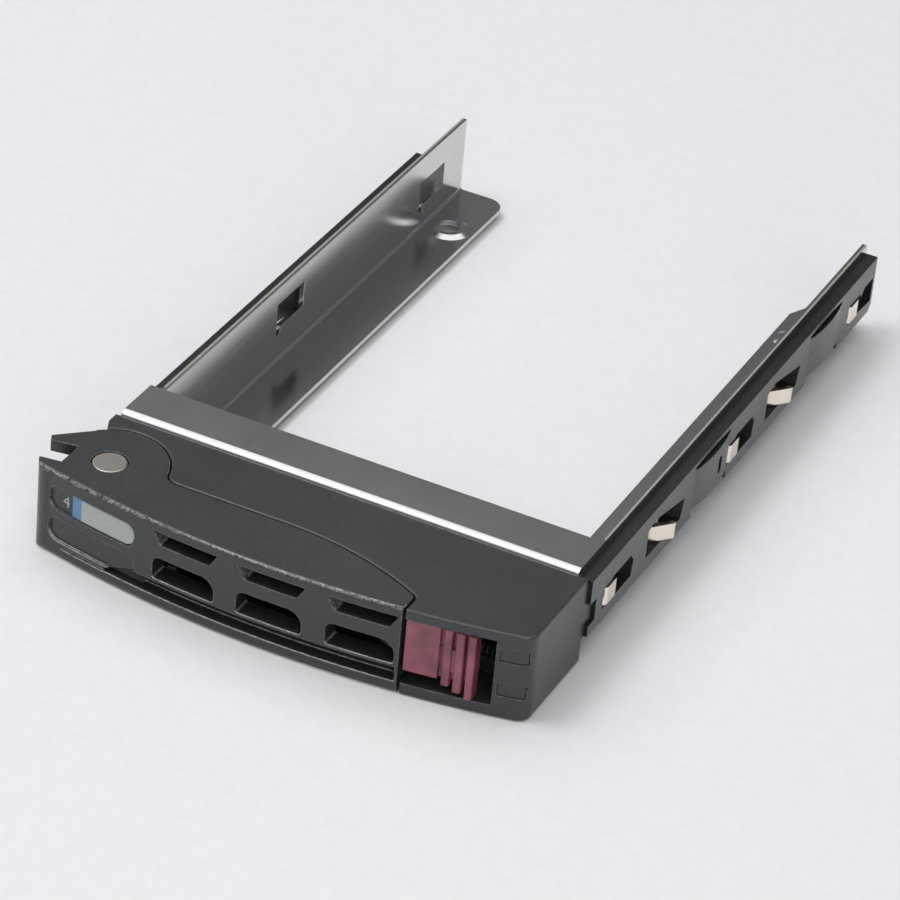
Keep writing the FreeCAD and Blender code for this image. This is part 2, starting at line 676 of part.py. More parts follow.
def bezel_outline():
    """Plan of the fixed bezel before the lever's hub is cleared out of it."""
    gap = LEVER_GAP
    start = ARM_STRAIGHT_END
    middle = (start + POD_LEFT) / 2
    right = BEZEL_RIGHT
    crest = (POD_LEFT + right) / 2
    bend = V(start, arm_back_y(start, gap), 0)
    inner = V(POD_LEFT, arm_back_y(POD_LEFT, gap), 0)
    nose = V(POD_LEFT, front_y(POD_LEFT), 0)
    shoulder = V(right, front_y(right), 0)
    pivot = V(PIVOT_X, bend.y, 0)
    heel = V(-BEZEL_LEFT, -BEZEL_END_DEPTH, 0)
    knuckle_x = -BEZEL_LEFT + BEZEL_END_CUT
    reach = HUB_RADIUS + gap
    knuckle = V(knuckle_x, PIVOT_Y + math.sqrt(reach ** 2 - (knuckle_x - PIVOT_X) ** 2), 0)
    return [
        line(V(-BEZEL_LEFT, 0, 0), heel),
        line(heel, knuckle),
        line(knuckle, pivot),
        line(pivot, bend),
        arc(bend, V(middle, arm_back_y(middle, gap), 0), inner),
        line(inner, nose),
        arc(nose, V(crest, front_y(crest), 0), shoulder),
        line(shoulder, V(right, 0, 0)),
        line(V(right, 0, 0), V(-BEZEL_LEFT, 0, 0)),
    ]


def bezel_cavity():
    """Hollow of the bezel, open to the rear."""
    z0 = BODY_BOTTOM + BEZEL_SKIN
    z1 = BODY_TOP - BEZEL_SKIN
    back = LEVER_GAP + BEZEL_WALL
    left = PIVOT_X + HUB_RADIUS + LEVER_GAP + BEZEL_WALL
    start = ARM_STRAIGHT_END
    turn = POD_LEFT - BEZEL_WALL
    middle = (start + turn) / 2
    right = PIPE_LEFT - BEZEL_WALL
    edges = [
        line(V(left, 1, 0), V(left, arm_back_y(left, back), 0)),
        line(V(left, arm_back_y(left, back), 0), V(start, arm_back_y(start, back), 0)),
        arc(V(start, arm_back_y(start, back), 0), V(middle, arm_back_y(middle, back), 0),
            V(turn, arm_back_y(turn, back), 0)),
        line(V(turn, arm_back_y(turn, back), 0), V(turn, BULKHEAD_Y, 0)),
        line(V(turn, BULKHEAD_Y, 0), V(right, BULKHEAD_Y, 0)),
        line(V(right, BULKHEAD_Y, 0), V(right, 1, 0)),
        line(V(right, 1, 0), V(left, 1, 0)),
    ]
    return plate(edges, z0, z1)


def seam_edges(body, gap):
    """Top edges that run along the seam between bezel and lever, gap from the lever."""
    found = []
    for edge in body.Edges:
        if min(v.Z for v in edge.Vertexes) < BODY_TOP - 0.01:
            continue
        middle = edge.valueAt((edge.FirstParameter + edge.LastParameter) / 2)
        hub = abs(math.hypot(middle.x - PIVOT_X, middle.y - PIVOT_Y) - HUB_RADIUS - gap) < 0.02
        inside = PIVOT_X + HUB_RADIUS < middle.x < LEVER_END + gap - ARM_END_CORNER
        if hub or (inside and abs(middle.y - arm_back_y(middle.x, gap)) < 0.02):
            found.append(edge)
    return found


def bezel_body():
    body = plate(bezel_outline(), BODY_BOTTOM, BODY_TOP)
    corner = upright_edges(body, BEZEL_RIGHT, front_y(BEZEL_RIGHT))
    body = body.makeFillet(BEZEL_CORNER, corner)
    rim = [edge for edge in body.Edges
           if all(v.Z > BODY_TOP - 0.01 and v.X > POD_LEFT + 0.01 and v.Y < -0.01
                  for v in edge.Vertexes)]
    body = body.makeFillet(BEZEL_EDGE / 2, rim)
    under = [edge for edge in body.Edges
             if all(v.Z < BODY_BOTTOM + 0.01 and v.X > POD_LEFT + 0.01 and v.Y < -0.01
                    for v in edge.Vertexes)]
    body = body.makeFillet(BEZEL_EDGE, under)
    reach = HUB_RADIUS + LEVER_GAP
    body = body.cut(disc(PIVOT_X, PIVOT_Y, reach, BODY_BOTTOM, BODY_TOP))
    bend_y = arm_back_y(ARM_STRAIGHT_END, LEVER_GAP)
    bend_x = PIVOT_X + math.sqrt(reach ** 2 - (bend_y - PIVOT_Y) ** 2)
    body = body.makeFillet(ARM_CORNER - LEVER_GAP, upright_edges(body, bend_x, bend_y))
    end_y = arm_back_y(POD_LEFT, LEVER_GAP)
    body = body.makeFillet(ARM_END_CORNER + LEVER_GAP, upright_edges(body, POD_LEFT, end_y))
    body = body.makeFillet(SEAM_EDGE, seam_edges(body, LEVER_GAP))
    button_room = block(POD_LEFT - 1, SLOT_RIGHT, BULKHEAD_Y - BULKHEAD, -FRONT_REACH - 5,
                        LIP_OVER, LIP_UNDER)
    catch_room = block(LEVER_END - LEVER_WALL - LEVER_GAP - 1, POD_LEFT + CATCH_LENGTH + 2,
                       catch_back() + LEVER_GAP, -FRONT_REACH - 5,
                       CATCH_LOW - LEVER_GAP, CATCH_LOW + CATCH_HEIGHT + LEVER_GAP)
    stem_slot = block(STEM_START - STEM_CLEARANCE,
                      STEM_START + STEM_WIDTH + BUTTON_TRAVEL + STEM_CLEARANCE,
                      BULKHEAD_Y - BULKHEAD - 1, BULKHEAD_Y + 1,
                      STEM_LOW - STEM_CLEARANCE, STEM_LOW + STEM_HEIGHT + STEM_CLEARANCE)
    cuts = [bezel_cavity(), button_room, catch_room, stem_slot]
    for x in vent_centres():
        cuts.append(block(x - VENT_LENGTH / 2 + 1, x + VENT_LENGTH / 2 - 1, -FRONT_REACH,
                          -BEZEL_WALL, AIR_SLOT_LOW, AIR_SLOT_LOW + AIR_SLOT_HEIGHT))
    body = body.cut(cuts)
    floor = block(-BEZEL_LEFT + 1, PIVOT_X + HUB_RADIUS + 1.5, PIVOT_Y, -1, BODY_BOTTOM, FLOOR_TOP)
    pad = disc(PIVOT_X, PIVOT_Y, FLOOR_DISC, BODY_BOTTOM, FLOOR_TOP)
    extras = [floor, pad]
    for x in screw_positions():
        boss_front = max(arm_back_y(x, LEVER_GAP), BULKHEAD_Y) - 0.5
        extras.append(Part.makeCylinder(SCREW_BOSS, -boss_front, V(x, boss_front, SCREW_Z),
                                        V(0, 1, 0)))
    for side in (-1, 1):
        extras.append(block(side * OUTER_HALF, side * BEZEL_RIGHT, -1, RAIL_START - SEAM,
                            RAIL_LOW, WALL_HEIGHT - STRIP_LUG_DROP - SEAM))
        extras.append(block(side * OUTER_HALF, side * BEZEL_RIGHT, -1, EAR_REACH,
                            EAR_LOW, EAR_LOW + EAR_HEIGHT))
    body = body.fuse(extras)
    holes = [disc(PIVOT_X, PIVOT_Y, PIN_RADIUS, BODY_BOTTOM - 1, FLOOR_TOP + 1),
             disc(PIVOT_X, PIVOT_Y, CLIP_RADIUS + PIN_FIT, BODY_BOTTOM - 1,
                  BODY_BOTTOM + CLIP_POCKET)]
    for x in screw_positions():
        holes.append(Part.makeCylinder(SCREW_RADIUS + SCREW_FIT, SCREW_LENGTH,
                                       V(x, -SCREW_LENGTH, SCREW_Z), V(0, 1, 0)))
    for z in (PIPE_LOWER, PIPE_UPPER):
        holes.append(pipe_shape(z, PIPE_GAP))
    return body.cut(holes).removeSplitter()


# ---------------------------------------------------------------- lever

def hub_point(angle):
    turn = math.radians(angle)
    return V(PIVOT_X + HUB_RADIUS * math.cos(turn), PIVOT_Y + HUB_RADIUS * math.sin(turn), 0)


def lever_outline():
    """Plan of the lever without its claw."""
    back = -ARM_BACK
    hub_left = V(-HEAD_LEFT, PIVOT_Y + math.sqrt(HUB_RADIUS ** 2 - (HEAD_LEFT + PIVOT_X) ** 2), 0)
    hub_right = V(PIVOT_X + math.sqrt(HUB_RADIUS ** 2 - (back - PIVOT_Y) ** 2), back, 0)
    start = ARM_STRAIGHT_END
    middle = (start + LEVER_END) / 2
    horn = V(-HORN_START_X, front_y(-HORN_START_X), 0)
    tip = V(-HORN_TIP_X, front_y(-HORN_TIP_X, HORN_TIP_SETBACK), 0)
    bulge = V(-HORN_TIP_X + 0.7, front_y(-HORN_TIP_X) + 0.1, 0)
    root = V(-HEAD_LEFT, front_y(-HEAD_LEFT, HORN_ROOT_SETBACK), 0)
    crest = (LEVER_END - HORN_START_X) / 2
    return [
        arc(hub_left, hub_point(75), hub_right),
        line(hub_right, V(start, back, 0)),
        arc(V(start, back, 0), V(middle, arm_back_y(middle), 0),
            V(LEVER_END, arm_back_y(LEVER_END), 0)),
        line(V(LEVER_END, arm_back_y(LEVER_END), 0), V(LEVER_END, front_y(LEVER_END), 0)),
        arc(V(LEVER_END, front_y(LEVER_END), 0), V(crest, front_y(crest), 0), horn),
        arc(horn, bulge, tip),
        line(tip, root),
        line(root, hub_left),
    ]


def catch_back():
    """Rear of the lever's catch, which lies behind the button's plate."""
    plate_back = front_y(BUTTON_LEFT + CATCH_LENGTH, BUTTON_SINK) + BUTTON_THICKNESS
    return plate_back + CATCH_GAP + CATCH_THICKNESS


def claw():
    """Thin finger at the top of the lever's head, which hooks the chassis."""
    root = hub_point(CLAW_ROOT_ANGLE)
    points = [(root.x, root.y), (-CLAW_TIP_X, -CLAW_TIP_Y),
              (-CLAW_TIP_X + 0.5, -CLAW_TIP_Y - CLAW_TIP_WIDTH), (-HEAD_LEFT, -CLAW_ROOT_Y),
              (-HEAD_LEFT + 3, -CLAW_ROOT_Y)]
    return polygon_plate(points, BODY_TOP - CLAW_THICKNESS, BODY_TOP)


def rounded_card(x0, x1, z0, z1, inset0, inset1, rounded):
    """Slab that follows the front, with its corners rounded at the x values in rounded."""
    face = block(x0, x1, -FRONT_REACH - 5, 0, z0, z1)
    edges = [edge for edge in face.Edges
             if abs(edge.Vertexes[0].Y - edge.Vertexes[-1].Y) > 1
             and edge.Vertexes[0].X in rounded]
    slab = front_band(x0, x1, inset0, inset1, z0, z1)
    return slab.common(face.makeFillet(CARD_CORNER, edges))


def depth_edges(slot, above, below):
    """Straight edges of a slot that run from front to back, between two heights."""
    return [edge for edge in slot.Edges
            if abs(edge.Vertexes[0].Y - edge.Vertexes[-1].Y) > 1
            and above < edge.Vertexes[0].Z < below]


def lever_vents():
    """Slots through the grip, an upper and a lower row."""
    cuts = []
    near = -FRONT_REACH - 5
    far = -FRONT_REACH + GRIP_WALL + 3
    for x in vent_centres():
        x0 = x - VENT_LENGTH / 2
        x1 = x + VENT_LENGTH / 2
        low = UPPER_VENT_LOW
        top = low + UPPER_VENT_HEIGHT
        slant = UPPER_VENT_SLANT
        slot = front_prism([(x0 + slant, low), (x1 - slant, low), (x1, top), (x0, top)],
                           near, far)
        cuts.append(slot.makeFillet(UPPER_VENT_ROUND, depth_edges(slot, low - 1, low + 0.01)))
        low = LOWER_VENT_LOW
        top = low + LOWER_VENT_HEIGHT
        slot = block(x0, x1 - VENT_STEP, near, far, low, top)
        for reach, level, x in ((LOWER_VENT_ROUND, top, x0), (LOWER_VENT_BROW, top, x1 - VENT_STEP),
                                (LOWER_VENT_FOOT, low, x0), (LOWER_VENT_FOOT, low, x1 - VENT_STEP)):
            corner = [edge for edge in depth_edges(slot, level - 0.01, level + 0.01)
                      if abs(edge.Vertexes[0].X - x) < 0.01]
            slot = slot.makeFillet(reach, corner)
        cuts.append(slot)
    return cuts


def lever_channel():
    """Finger channel under the lower vents, which narrows to the left."""
    low = CHANNEL_LOW
    top = low + CHANNEL_HEIGHT
    start = CHANNEL_LEFT - CHANNEL_RUN
    outline = [(start, low), (CHANNEL_RIGHT, low), (CHANNEL_RIGHT, top), (CHANNEL_LEFT, top),
               (start, low + 0.4)]
    slab = front_band(start - 1, CHANNEL_RIGHT + 1, -1, CHANNEL_DEPTH, low - 1, top + 1)
    body = slab.common(front_prism(outline, -FRONT_REACH - 5, 0))
    groove_start = CHANNEL_LEFT - CHANNEL_TAPER
    groove = front_band(groove_start, start + 0.5, -1, CARD_DEPTH, low - 0.1, low + 0.4)
    return [body, groove]


def front_rounding(level, radius, side):
    """Tool that rounds the lever's curved front edge, above (side 1) or below (side -1)."""
    front = -FRONT_REACH
    lift = V(0, 0, level)
    start = V(FRONT_CREST_X, front + radius, 0) + lift
    middle = V(FRONT_CREST_X, front + radius * (1 - math.sqrt(0.5)),
               -side * radius * (1 - math.sqrt(0.5))) + lift
    end = V(FRONT_CREST_X, front, -side * radius) + lift
    out = V(FRONT_CREST_X, front - 1, -side * radius) + lift
    far = V(FRONT_CREST_X, front - 1, side) + lift
    over = V(FRONT_CREST_X, front + radius, side) + lift
    profile = Part.Face(Part.Wire([arc(start, middle, end), line(end, out), line(out, far),
                                   line(far, over), line(over, start)]))
    centre = V(FRONT_CREST_X, FRONT_CENTRE_Y, 0)
    sweep = math.degrees(math.asin((HORN_TIP_X + HORN_TIP_PROUD) / FRONT_RADIUS))
    profile.rotate(centre, V(0, 0, 1), -sweep)
    return profile.revolve(centre, V(0, 0, 1), 2 * sweep)


def lever():
    outline = lever_outline()
    body = plate(outline, BODY_BOTTOM, BODY_TOP)
    hub_right = PIVOT_X + math.sqrt(HUB_RADIUS ** 2 - (-ARM_BACK - PIVOT_Y) ** 2)
    body = body.makeFillet(ARM_CORNER, upright_edges(body, hub_right, -ARM_BACK))
    end_corner = upright_edges(body, LEVER_END, arm_back_y(LEVER_END))
    body = body.makeFillet(ARM_END_CORNER, end_corner)
    face = [f for f in body.Faces if f.normalAt(0, 0).z > 0.99 and f.BoundBox.ZMin > BODY_TOP - 0.01][0]
    room = face.makeOffset2D(-LEVER_WALL)
    room.translate(V(0, 0, BODY_BOTTOM - BODY_TOP - 1))
    cavity = room.extrude(V(0, 0, BODY_HEIGHT - LEVER_SKIN + 1))
    body = body.makeFillet(SEAM_EDGE, seam_edges(body, 0))
    body = body.cut([front_rounding(BODY_TOP, LEVER_EDGE, 1),
                     front_rounding(BODY_BOTTOM, LEVER_EDGE * 2, -1)])
    grip = front_band(GRIP_START, LEVER_END, 0.6, GRIP_WALL, BODY_BOTTOM, BODY_TOP - 0.1)
    boss = disc(PIVOT_X, PIVOT_Y, BOSS_RADIUS, FLOOR_TOP + LEVER_GAP / 2, BODY_TOP - 0.1)
    back = catch_back()
    front = back - CATCH_THICKNESS
    catch = block(LEVER_END - LEVER_WALL, BUTTON_LEFT + CATCH_LENGTH, front, back,
                  CATCH_LOW, CATCH_LOW + CATCH_HEIGHT)
    under = block(-HORN_TIP_X - 5, GRIP_START + 2, PIVOT_Y - SKIRT_BACK, 5,
                  BODY_BOTTOM - 1, FLOOR_TOP + LEVER_GAP)
    body = body.cut([cavity, under]).fuse([grip.cut(under), boss, catch, claw()])
    cuts = lever_vents() + lever_channel()
    card_right = CARD_LEFT + CARD_LENGTH
    for low in (CARD_UPPER_LOW, CARD_LOWER_LOW):
        cuts.append(rounded_card(CARD_LEFT, card_right, low, low + CARD_HEIGHT,
                                 -1, CARD_DEPTH, (CARD_LEFT, card_right)))
    cuts.append(disc(PIVOT_X, PIVOT_Y, PIN_RADIUS + PIN_FIT, BODY_BOTTOM - 1, BODY_TOP + 1))
    cuts.append(disc(PIVOT_X, PIVOT_Y, PIN_HEAD_RADIUS + PIN_HEAD_GAP,
                     BODY_TOP - PIN_HEAD_SINK - PIN_HEAD_HEIGHT - PIN_FIT, BODY_TOP + 1))
    return body.cut(cuts).removeSplitter()


def labels():
    """White label and the blue stripe at its left, both in the upper recess."""
    z0 = CARD_UPPER_LOW + LABEL_EDGE
    z1 = CARD_UPPER_LOW + CARD_HEIGHT - LABEL_EDGE
    inset = CARD_DEPTH - LABEL_THICKNESS
    blue_end = LABEL_START + STRIPE_WIDTH
    right = CARD_LEFT + CARD_LENGTH - LABEL_EDGE
    blue = front_band(LABEL_START, blue_end, inset, CARD_DEPTH, z0, z1)
    white = rounded_card(blue_end, right, z0, z1, inset, CARD_DEPTH, (right,))
    return white, blue


def lever_pin():
    """Headed pivot pin, grooved at its foot for the clip."""
    head_low = BODY_TOP - PIN_HEAD_SINK - PIN_HEAD_HEIGHT
    foot = BODY_BOTTOM + 0.1
    head = disc(PIVOT_X, PIVOT_Y, PIN_HEAD_RADIUS, head_low, head_low + PIN_HEAD_HEIGHT)
    rim = [edge for edge in head.Edges
           if edge.Curve.TypeId == "Part::GeomCircle" and edge.Vertexes[0].Z > head_low + 0.1]
    head = head.makeFillet(0.2, rim)
    shank = disc(PIVOT_X, PIVOT_Y, PIN_RADIUS, foot, head_low)
    groove = disc(PIVOT_X, PIVOT_Y, PIN_RADIUS + 1, clip_low(), clip_low() + CLIP_THICKNESS)
    groove = groove.cut(disc(PIVOT_X, PIVOT_Y, PIN_RADIUS - 0.4, clip_low(),
                             clip_low() + CLIP_THICKNESS))
    return head.fuse(shank).cut(groove).removeSplitter()


def clip_low():
    return BODY_BOTTOM + CLIP_POCKET - CLIP_THICKNESS


def pin_clip():
    """Open retaining ring in the pin's groove."""
    ring = disc(PIVOT_X, PIVOT_Y, CLIP_RADIUS - 0.1, clip_low(), clip_low() + CLIP_THICKNESS)
    bore = disc(PIVOT_X, PIVOT_Y, PIN_RADIUS - 0.4, clip_low(), clip_low() + CLIP_THICKNESS)
    mouth = block(PIVOT_X - 0.9, PIVOT_X + 0.9, PIVOT_Y - CLIP_RADIUS - 1, PIVOT_Y,
                  clip_low(), clip_low() + CLIP_THICKNESS)
    return ring.cut([bore, mouth])


def lever_spring():
    """Torsion spring round the lever's boss, with one leg against the lever's front wall."""
    radius = BOSS_RADIUS + LEVER_SPRING_PLAY + LEVER_SPRING_WIRE
    coil, end, heading = coil_spring(radius, LEVER_SPRING_PITCH, LEVER_SPRING_TURNS,
                                     LEVER_SPRING_WIRE)
    turn = math.radians(LEVER_SPRING_END)
    start_y = PIVOT_Y + radius * math.sin(turn)
    wall_y = front_y(PIVOT_X + BOSS_RADIUS, LEVER_WALL)
    reach = (wall_y + LEVER_SPRING_GAP - start_y) / math.cos(turn)
    leg = Part.makeCylinder(LEVER_SPRING_WIRE, reach, end, heading)
    spring = coil.fuse(leg).removeSplitter()
    spring.rotate(V(0, 0, 0), V(0, 0, 1), LEVER_SPRING_END - LEVER_SPRING_TURNS * 360)
    spring.translate(V(PIVOT_X, PIVOT_Y, FLOOR_TOP + LEVER_SPRING_WIRE))
    return spring


# ---------------------------------------------------------------- release button

def release_button():
    """Sliding button: sunk plate, stepped ribs, stem and a foot behind the bulkhead."""
    low = LIP_OVER + BUTTON_CLEARANCE
    top = LIP_UNDER - BUTTON_CLEARANCE
    right = BUTTON_LEFT + BUTTON_WIDTH
    back = BUTTON_SINK + BUTTON_THICKNESS
    body = front_band(BUTTON_LEFT, RIB_START - GROOVE_WIDTH, BUTTON_SINK, back,
                      low + BUTTON_FOOT, top)
    pieces = [front_band(RIB_START - 2 * GROOVE_WIDTH, right, BUTTON_SINK + GROOVE_DEPTH, back,
                         low + BUTTON_FOOT, top)]
    for count in range(RIB_COUNT):
        x0 = RIB_START + count * RIB_PITCH
        x1 = x0 + RIB_WIDTH if count < RIB_COUNT - 1 else right
        rise = RIB_RISE + count * RIB_STEP
        drop = RIB_DROP * (RIB_COUNT - 1 - count)
        rib = front_band(x0, x1, BUTTON_SINK - rise, back, low + drop, top)
        edges = [edge for edge in rib.Edges
                 if abs(edge.Vertexes[0].Z - edge.Vertexes[-1].Z) > 1
                 and edge.Vertexes[0].Y < front_y(edge.Vertexes[0].X, BUTTON_SINK) + 0.1]
        pieces.append(rib.makeFillet(RIB_ROUND, edges))
    plate_back = front_y(STEM_START, back)
    foot_y = BULKHEAD_Y + STEM_CLEARANCE
    pieces.append(block(STEM_START, STEM_START + STEM_WIDTH, plate_back - 0.5,
                        foot_y + FOOT_THICKNESS, STEM_LOW, STEM_LOW + STEM_HEIGHT))
    pieces.append(block(STEM_START, STEM_START + STEM_WIDTH, foot_y, foot_y + FOOT_THICKNESS,
                        STEM_LOW - FOOT_OVERLAP, STEM_LOW + STEM_HEIGHT + FOOT_OVERLAP))
    spigot = Part.makeCylinder(SPRING_RADIUS - SPRING_WIRE * 2, 1.2,
                               V(STEM_START + STEM_WIDTH, SPRING_Y, spring_z()), V(1, 0, 0))
    pieces.append(spigot)
    return joined(body, pieces)


def spring_z():
    return STEM_LOW + STEM_HEIGHT / 2


def button_spring():
    """Coil spring between the stem and the end of the button's slot."""
    start = STEM_START + STEM_WIDTH + SPRING_WIRE
    length = SLOT_RIGHT - SPRING_WIRE - start
    coil = coil_spring(SPRING_RADIUS - SPRING_WIRE, length / SPRING_TURNS, SPRING_TURNS,
                       SPRING_WIRE)[0]
    coil.rotate(V(0, 0, 0), V(0, 1, 0), 90)
    coil.translate(V(start, SPRING_Y, spring_z()))
    return coil


# ---------------------------------------------------------------- light pipes and screws

def pipe_shape(z, grow=0.0):
    """Light pipe: a wide head in the front and a stem back through the frame."""
    tail = SHEET if not grow else 0.5
    front = front_y(PIPE_LEFT) - 1
    stem = block(PIPE_LEFT - grow, PIPE_LEFT + PIPE_STEM + grow, front, tail,
                 z - grow, z + PIPE_HEIGHT + grow)
    head = front_band(PIPE_LEFT - grow, PIPE_LEFT + PIPE_HEAD, -2, PIPE_HEAD_DEPTH + grow,
                      z - grow, z + PIPE_HEIGHT + grow)
    return stem.fuse(head).removeSplitter()


def light_pipe(z):
    """Pipe trimmed to lie just behind the bezel's rounded front corner."""
    column = plate(bezel_outline(), z - 1, z + PIPE_HEIGHT + 1)
    corner = upright_edges(column, BEZEL_RIGHT, front_y(BEZEL_RIGHT))
    column = column.makeFillet(BEZEL_CORNER, corner)
    column = column.fuse(block(0, BEZEL_RIGHT, -1, SHEET, z - 1, z + PIPE_HEIGHT + 1))
    column.translate(V(-0.1, 0.15, 0))
    column = column.fuse(block(0, BEZEL_RIGHT - 1, -1, SHEET, z - 1, z + PIPE_HEIGHT + 1))
    keep = block(0, BEZEL_RIGHT, -FRONT_REACH - 5, SHEET, z - 1, z + PIPE_HEIGHT + 1)
    return pipe_shape(z).common(column.common(keep)).removeSplitter()


def bezel_screws():
    """Pan-head screws from the drive bay into the bezel's bosses."""
    found = []
    for x in screw_positions():
        shank = Part.makeCylinder(SCREW_RADIUS, SCREW_LENGTH, V(x, SHEET - SCREW_LENGTH + 0.2, SCREW_Z),
                                  V(0, 1, 0))
        head = Part.makeCylinder(SCREW_HEAD_RADIUS, SCREW_HEAD_HEIGHT, V(x, SHEET, SCREW_Z),
                                 V(0, 1, 0))
        crown = [edge for edge in head.Edges
                 if edge.Curve.TypeId == "Part::GeomCircle" and edge.Vertexes[0].Y > SHEET + 0.1]
        head = head.makeFillet(SCREW_HEAD_HEIGHT * 0.5, crown)
        found.append(shank.fuse(head).removeSplitter())
    return Part.makeCompound(found)


def save(name, shape):
    """Write one node, moved so that the origin is the drive-hole pattern's centre."""
    placed = shape.copy()
    placed.translate(V(0, -DATUM_Y, 0))
    placed.exportStep("parts/" + name + ".step")


def main():
    os.makedirs("parts", exist_ok=True)
    white, blue = labels()
    save("tray_frame", tray_frame())
    save("right_rail", right_rail())
    save("left_rail", left_rail())
    save("bezel_body", bezel_body())
    save("bezel_screws", bezel_screws())
    save("lever", lever())
    save("lever_pin", lever_pin())
    save("pin_clip", pin_clip())
    save("lever_spring", lever_spring())
    save("label_white", white)
    save("label_blue", blue)
    save("release_button", release_button())
    save("button_spring", button_spring())
    save("lower_light_pipe", light_pipe(PIPE_LOWER))
    save("upper_light_pipe", light_pipe(PIPE_UPPER))


main()
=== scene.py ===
"""Looks of a hot swap drive caddy: finishes, small fittings, studio and camera."""

import logging
import math
from dataclasses import dataclass, field, replace
from enum import Enum

import bmesh
import bpy
from mathutils import Matrix, Vector


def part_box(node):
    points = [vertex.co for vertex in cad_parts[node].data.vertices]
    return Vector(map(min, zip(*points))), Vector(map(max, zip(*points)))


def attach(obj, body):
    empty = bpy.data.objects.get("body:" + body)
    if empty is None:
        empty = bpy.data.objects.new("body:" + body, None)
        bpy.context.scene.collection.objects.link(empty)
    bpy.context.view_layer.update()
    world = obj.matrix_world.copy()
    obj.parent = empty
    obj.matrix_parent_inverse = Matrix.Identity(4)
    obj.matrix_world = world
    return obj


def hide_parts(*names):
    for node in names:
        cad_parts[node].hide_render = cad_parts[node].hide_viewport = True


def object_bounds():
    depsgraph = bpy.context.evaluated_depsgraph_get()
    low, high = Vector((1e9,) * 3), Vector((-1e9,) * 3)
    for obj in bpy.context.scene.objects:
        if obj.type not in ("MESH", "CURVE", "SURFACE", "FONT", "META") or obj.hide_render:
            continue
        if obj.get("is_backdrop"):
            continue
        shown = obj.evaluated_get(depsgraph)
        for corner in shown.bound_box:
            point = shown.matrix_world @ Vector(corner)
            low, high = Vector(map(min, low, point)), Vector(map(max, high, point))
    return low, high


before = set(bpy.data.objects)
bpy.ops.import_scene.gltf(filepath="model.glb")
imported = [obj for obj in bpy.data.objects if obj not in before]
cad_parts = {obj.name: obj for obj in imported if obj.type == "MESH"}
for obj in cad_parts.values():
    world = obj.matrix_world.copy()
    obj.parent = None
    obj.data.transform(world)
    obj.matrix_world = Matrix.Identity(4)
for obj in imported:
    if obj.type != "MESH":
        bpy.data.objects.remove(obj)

log = logging.getLogger("caddy")

MM = 0.001

Colour = tuple[float, float, float]
Value = float | bpy.types.NodeSocket
Tint = Colour | bpy.types.NodeSocket

# Wear and dust that several finishes share
PLASTIC_DUST: Colour = (0.55, 0.54, 0.52)
METAL_DUST: Colour = (0.5, 0.49, 0.47)
SCUFFED_FILM: Colour = (0.7, 0.7, 0.68)


